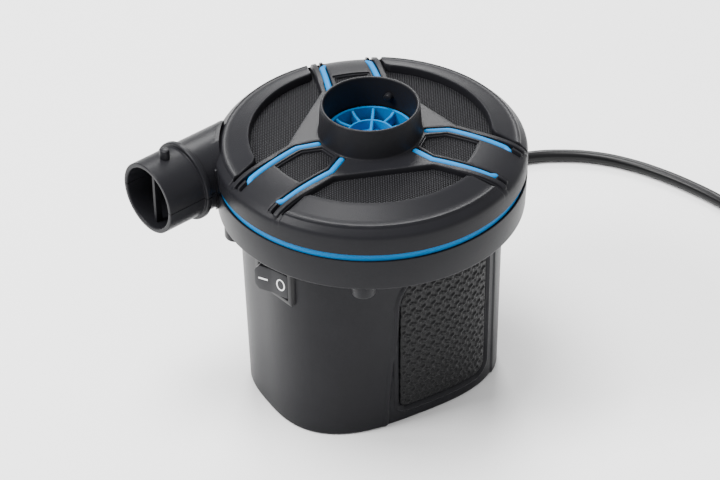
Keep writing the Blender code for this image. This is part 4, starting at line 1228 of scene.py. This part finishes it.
def body_shell():
    """Motor body with its side panels, beads, pad seats and the two openings."""
    turns = body_columns()
    heights = np.concatenate([
        (0.0, 0.15, 0.4, 0.75, BODY_FOOT), np.arange(1.8, BODY_TOP - 0.6, 0.7), (BODY_TOP,),
    ])
    inner = [
        [(*body_plan(turn, BODY_DRAFT * z / BODY_TOP - BODY_WALL), z) for turn in turns]
        for z in (BODY_TOP, BODY_TOP / 2.0, 0.0)
    ]
    shell = stitched("body_shell", [*body_surface(turns, heights), *inner], closed=True)
    shell = carved(shell, switch_block(-5.0, 3.6, SWITCH_SEAT, 0.8))
    shell = carved(shell, switch_block(3.0, 12.0, SWITCH_HOLE, 0.5))
    hole = column("exit", ((CORD_EXIT_RADIUS, 0.0), (CORD_EXIT_RADIUS, 20.0)), 64)
    mesh = carved(shell, at_exit(hole, 40.0))
    placed("motor_body", mesh, (BLACK,), "body_shell")


def at_exit(mesh, distance):
    """Turn a mesh made along +Z outwards at the cord's exit, a distance from the middle."""
    turn = math.radians(CORD_EXIT_ANGLE)
    way = Vector((math.cos(turn), math.sin(turn), 0.0))
    start = way * distance
    return aimed(mesh, (start.x, start.y, CORD_EXIT_Z), way)


# ---------------- grip pads

PAD_SPACING = 0.42
WEAVE_PITCH = (4.9, 5.5)
WEAVE_HALF = 0.52
WEAVE_HEIGHT = 0.62


def weave(points):
    """Height of the interlocking bent ridges of the grip pattern."""
    pitch_x, pitch_z = WEAVE_PITCH
    arms = []
    for turn in (90.0, 210.0, 330.0):
        first = math.radians(turn)
        second = math.radians(turn - 62.0)
        knee = (1.35 * math.cos(first), 1.35 * math.sin(first))
        tip = (knee[0] + 1.5 * math.cos(second), knee[1] + 1.5 * math.sin(second))
        arms.append(((0.0, 0.0), knee))
        arms.append((knee, tip))
    best = np.full(len(points), 1e9)
    row = np.floor(points[:, 1] / pitch_z)
    for step_z in (-1, 0, 1):
        level = row + step_z
        shift = 0.5 * pitch_x * (level % 2)
        cell = np.floor((points[:, 0] - shift) / pitch_x)
        for step_x in (-1, 0, 1, 2):
            local_x = points[:, 0] - shift - (cell + step_x) * pitch_x
            local_z = points[:, 1] - (level + 0.5) * pitch_z
            for (ax, az), (bx, bz) in arms:
                ex = bx - ax
                ez = bz - az
                share = ((local_x - ax) * ex + (local_z - az) * ez) / (ex * ex + ez * ez)
                share = np.clip(share, 0.0, 1.0)
                gap = np.hypot(local_x - ax - share * ex, local_z - az - share * ez)
                best = np.minimum(best, gap)
    return WEAVE_HEIGHT * (1.0 - step(best - WEAVE_HALF * 0.45, WEAVE_HALF * 1.3))


def pad_mesh(name, side):
    """Closed mesh of one grip pad, following the body's side."""
    outline = resampled(pad_outline(), 0.8)
    rim = resampled(offset(outline, 0.35), 0.8)
    plan = []
    edges = []
    for loop in (outline, rim):
        add_loop(plan, edges, loop)
    grid = []
    for row, z in enumerate(np.arange(PAD_BOTTOM, PAD_TOP, PAD_SPACING * 0.87)):
        first = PAD_LEFT + PAD_SPACING * 0.5 * (row % 2)
        grid.extend((along, z) for along in np.arange(first, PAD_RIGHT, PAD_SPACING))
    grid = np.array(grid)
    grid = grid[signed_distance(rim, grid) > 0.3]
    plan.extend(map(tuple, grid))
    made, _, faces, *_ = delaunay_2d_cdt([Vector(point) for point in plan], edges, [], 1, 1e-6)
    flat = np.array([tuple(point) for point in made])
    inside = signed_distance(outline, flat)
    height = PAD_FACE + weave(flat) * step(inside - 0.5, 0.5)
    height = np.where(inside < 0.1, PAD_FACE - 0.35, height)
    count = len(flat)
    every = np.concatenate([
        pad_points(flat, depth, side) for depth in (height, np.full(count, PAD_BACK))
    ])
    border = {}
    solid = []
    for face in faces:
        face = tuple(face)
        solid.append(face)
        solid.append(tuple(index + count for index in reversed(face)))
        for a, b in zip(face, face[1:] + face[:1]):
            if (b, a) in border:
                del border[(b, a)]
            else:
                border[(a, b)] = True
    solid.extend((b, a, a + count, b + count) for a, b in border)
    mesh = bpy.data.meshes.new(name)
    mesh.from_pydata([tuple(point) for point in every], [], solid)
    outward(mesh)
    return mesh


def pad_points(flat, depth, side):
    """Points of the pad on one side of the body, in the object's frame."""
    along = side * flat[:, 0]
    grow = BODY_DRAFT * flat[:, 1] / BODY_TOP
    across, normal_x, normal_y = side_point(along, grow)
    plan = yawed(along + normal_x * depth, -side * (across + normal_y * depth))
    return np.stack([*plan, flat[:, 1]], axis=1)


def grip_pads():
    """Both grip pads; the hidden one is the same turned half round."""
    for name, side in (("grip_pad_right", 1.0), ("grip_pad_left", -1.0)):
        placed(f"rubber_{name}", pad_mesh(name, side), (RUBBER,), name, sharp=60.0)


# ---------------- switch

BEZEL_HALF = (11.7, 8.5)
WELL_HALF = (9.35, 6.48)
SWITCH_BODY = (9.6, 6.6)
SWITCH_BODY_DEPTH = 16.0
BEZEL_DEPTH = 3.3
WELL_DEPTH = 8.5
ROCKER_PIVOT = (SWITCH_PLACE[0] + 1.9, *SWITCH_PLACE[1:])
ROCKER_HALF = (8.2, 6.2)
ROCKER_TILT = 18.0
ROCKER_FRONT = -4.4
ROCKER_DIP = 0.7
ROCKER_CUT = 2.2
ROCKER_BACK = 1.9
ROCKER_SIDE = -0.8
# Rounding of the rocker's long front edges: depth, and distance in from the edge
ROCKER_ROUND = ((0.8, 0.0), (0.35, 0.1), (0.1, 0.32), (0.0, 0.7))
# Depths of a printed mark's front and back from the rocker's face
MARK_DEPTHS = (-0.05, 0.2)
BAR_ENDS = (1.9, 6.2)
BAR_HALF = 0.4
OFF_CENTRE = -4.6
OFF_RADII = (1.9, 2.6)
OFF_HALF = 0.3


def rectangle_ring(x, half_y, half_z, radius, centre):
    """Rounded rectangle facing along X."""
    outline = rounded([
        (-half_y, -half_z, radius), (half_y, -half_z, radius),
        (half_y, half_z, radius), (-half_y, half_z, radius),
    ])
    return [(x, centre[1] + y, centre[2] + z) for y, z in outline]


def switch_housing():
    """Switch housing: bezel with a bevelled front and the well for the rocker."""
    face = SWITCH_PLACE[0]
    half_y, half_z = BEZEL_HALF
    well_y, well_z = WELL_HALF
    levels = (
        (face + SWITCH_BODY_DEPTH, *SWITCH_BODY, 0.3), (face + BEZEL_DEPTH, *SWITCH_BODY, 0.3),
        (face + BEZEL_DEPTH, half_y, half_z, 0.7),
        (face + 0.5, half_y, half_z, 0.7), (face + 0.15, half_y - 0.12, half_z - 0.12, 0.65),
        (face, half_y - 0.45, half_z - 0.45, 0.5), (face, well_y + 0.25, well_z + 0.25, 0.4),
        (face + 0.25, well_y, well_z, 0.3), (face + WELL_DEPTH, well_y, well_z, 0.3),
    )
    rings = [
        rectangle_ring(x, y, z, radius, SWITCH_PLACE) for x, y, z, radius in levels
    ]
    mesh = stitched("switch_housing", rings)
    placed("switch_frame", mesh, (DARK,), "switch_housing")


def rocker_face(y):
    """Depth of the rocker's front, a shallow V, at a place along it."""
    return ROCKER_FRONT + ROCKER_DIP * (1.0 - abs(y) / ROCKER_HALF[0])


def rocker_section(y, inset):
    """Section across the rocker; its raised end has cut corners."""
    half_y, half_z = ROCKER_HALF
    half_z -= max(0.0, y - half_y + ROCKER_CUT) + inset
    front = rocker_face(y) + inset
    back = ROCKER_BACK - 2.7 * (y / half_y) ** 2
    below = [(back, y, -half_z + 1.2), (ROCKER_SIDE, y, -half_z)]
    below.extend((front + depth, y, -half_z + inward) for depth, inward in ROCKER_ROUND)
    return [*below, *[(x, y, -z) for x, y, z in reversed(below)]]


def tilted(mesh):
    """Turn a mesh from the rocker's own frame to its place."""
    turn = Matrix.Rotation(math.radians(ROCKER_TILT), 4, "Z")
    mesh.transform(Matrix.Translation(ROCKER_PIVOT) @ turn)
    return mesh


def mark_corners(half):
    """Corners of a printed mark's section: (depth, place across it)."""
    front, back = MARK_DEPTHS
    return (front, -half), (front, half), (back, half), (back, -half)


def rocker_marks():
    """Bar for on and ring for off, printed on the rocker."""
    bar = [
        [(rocker_face(y) + depth, y, z) for depth, z in mark_corners(BAR_HALF)] for y in BAR_ENDS
    ]
    ring = []
    for turn in np.linspace(0.0, math.tau, 64, endpoint=False):
        section = []
        for depth, wide in mark_corners(OFF_HALF):
            y = OFF_CENTRE + math.cos(turn) * (OFF_RADII[0] + wide)
            section.append((rocker_face(y) + depth, y, math.sin(turn) * (OFF_RADII[1] + wide)))
        ring.append(section)
    return gathered("marks", [stitched("bar", bar), stitched("ring", ring, closed=True)])


def switch_rocker():
    """Rocker with its two printed marks."""
    half_y = ROCKER_HALF[0]
    ends = ((half_y, 0.35), (half_y - 0.12, 0.12), (half_y - 0.4, 0.0))
    places = [(-y, inset) for y, inset in ends]
    places.extend((y, 0.0) for y in (-4.0, -1.0, -0.3, 0.3, 1.0, 3.5, half_y - ROCKER_CUT))
    places.extend(reversed(ends))
    mesh = tilted(stitched("switch_rocker", [rocker_section(*place) for place in places]))
    placed("rocker_cap", mesh, (ROCKER,), "switch_rocker", "rocker")
    placed("rocker_marks", tilted(rocker_marks()), (PRINT,), None, "rocker")


# ---------------- fan eye

CAP_FIRST_SPOKE = 15.0
CAP_SPOKES = 12
CAP_RING = (9.2, 10.3)
SPOKE_REACH = 17.2
SPOKE_HALF = 0.75


def spoke(low, high, start, angle):
    """Spoke of the cap with a rounded top edge and an upturned outer end."""
    sections = []
    for x in np.linspace(start, SPOKE_REACH, 9):
        lift = 0.9 * float(step(np.array(x - SPOKE_REACH + 2.2), 2.2))
        top = high + lift
        sections.append([
            (x, y, z) for y, z in (
                (-SPOKE_HALF, low), (SPOKE_HALF, low), (0.7, top - 0.5), (0.45, top - 0.15), (0.0, top),
                (-0.45, top - 0.15), (-0.7, top - 0.5),
            )
        ])
    made = stitched("spoke", sections)
    made.transform(Matrix.Rotation(math.radians(angle), 4, "Z"))
    return made


def fan_eye():
    """Spoked cap over the fan's nut."""
    low, high = node_box("impeller_cap")
    base = low.z
    top = high.z
    inner, outer = CAP_RING
    disc = column("disc", (
        (13.9, base), (14.3, base + 0.3), (14.3, base + 0.9), (14.0, base + 1.1), (9.0, base + 1.1),
        (8.0, base + 0.9), (3.0, base + 0.75),
    ), 128)
    ring = lathe("ring", [tuple(p) for p in rounded([
        (inner, base + 0.5, 0.0), (outer, base + 0.5, 0.0), (outer - 0.1, top, 0.35),
        (inner + 0.1, top, 0.35),
    ])], 128)
    parts = [disc, ring]
    for index in range(CAP_SPOKES):
        start = 0.0 if index % 3 == 1 else 9.7
        angle = CAP_FIRST_SPOKE + index * 360.0 / CAP_SPOKES
        parts.append(spoke(base + 0.6, top - 0.15, start, angle))
    mesh = gathered("impeller_cap", parts)
    placed("fan_cap", mesh, (BLUE,), "impeller_cap", "rotor")


# ---------------- strain relief and plug

RELIEF_START = 39.0
RELIEF_LENGTH = 41.0
RELIEF_RIBS = 7
RELIEF_PITCH = 2.9
PLUG_X = 288.0
PLUG_Z = 6.85
PLUG_POWER = 0.6


def strain_relief():
    """Sleeve round the cord with ribs that let it bend."""
    profile = [(3.2, 0.0), (7.4, 0.0), (7.4, 1.6), (5.4, 1.8), (5.4, 18.5)]
    for index in range(RELIEF_RIBS):
        start = 19.5 + index * RELIEF_PITCH
        radius = 5.35 - 0.13 * index
        root = radius - 0.75
        profile.extend((
            (root, start), (root, start + 1.1), (radius - 0.15, start + 1.25),
            (radius, start + 1.45), (radius, start + 2.45), (radius - 0.15, start + 2.65),
        ))
    profile.extend(((4.1, 40.4), (3.8, RELIEF_LENGTH), (3.2, RELIEF_LENGTH)))
    mesh = at_exit(lathe("strain_relief", profile, 64), RELIEF_START)
    placed("cord_sleeve", mesh, (PVC,), "strain_relief")


def plug_body():
    """Flat plug with grip ridges on its waist."""
    sections = [
        (-43.6, 3.4, 3.4), (-43.2, 4.0, 4.0), (-36.0, 4.6, 4.5), (-30.0, 5.4, 5.0),
        (-26.0, 9.0, 6.0), (-22.0, 11.6, 6.5), (-18.0, 12.8, 6.7),
    ]
    for index in range(4):
        y = -17.4 + index * 2.0
        wide = 13.0 + 0.6 * index
        sections.extend(((y, wide, 6.7), (y + 0.3, wide - 0.6, 6.2), (y + 1.0, wide - 0.5, 6.2),
                         (y + 1.3, wide + 0.2, 6.7)))
    sections.extend(((-8.8, 15.8, 6.7), (-6.6, 16.8, 6.7), (-6.1, 16.6, 6.5), (-6.0, 16.0, 6.1)))
    turns = np.linspace(0.0, math.tau, 72, endpoint=False)
    outline = [superellipse(turn, PLUG_POWER) for turn in turns]
    rings = [
        [(PLUG_X + half_x * x, y, PLUG_Z + half_z * z) for x, z in outline]
        for y, half_x, half_z in sections
    ]
    return placed("plug_shell", stitched("plug_body", rings), (PVC,), "plug_body")


# ---------------- assembly


camera()
floor()
lights()
dress_frame()
strain_relief()
cord(plug_body())
cover()
housing()
trim_ring()
accent_strips()
body_shell()
grip_pads()
switch_housing()
switch_rocker()
fan_eye()
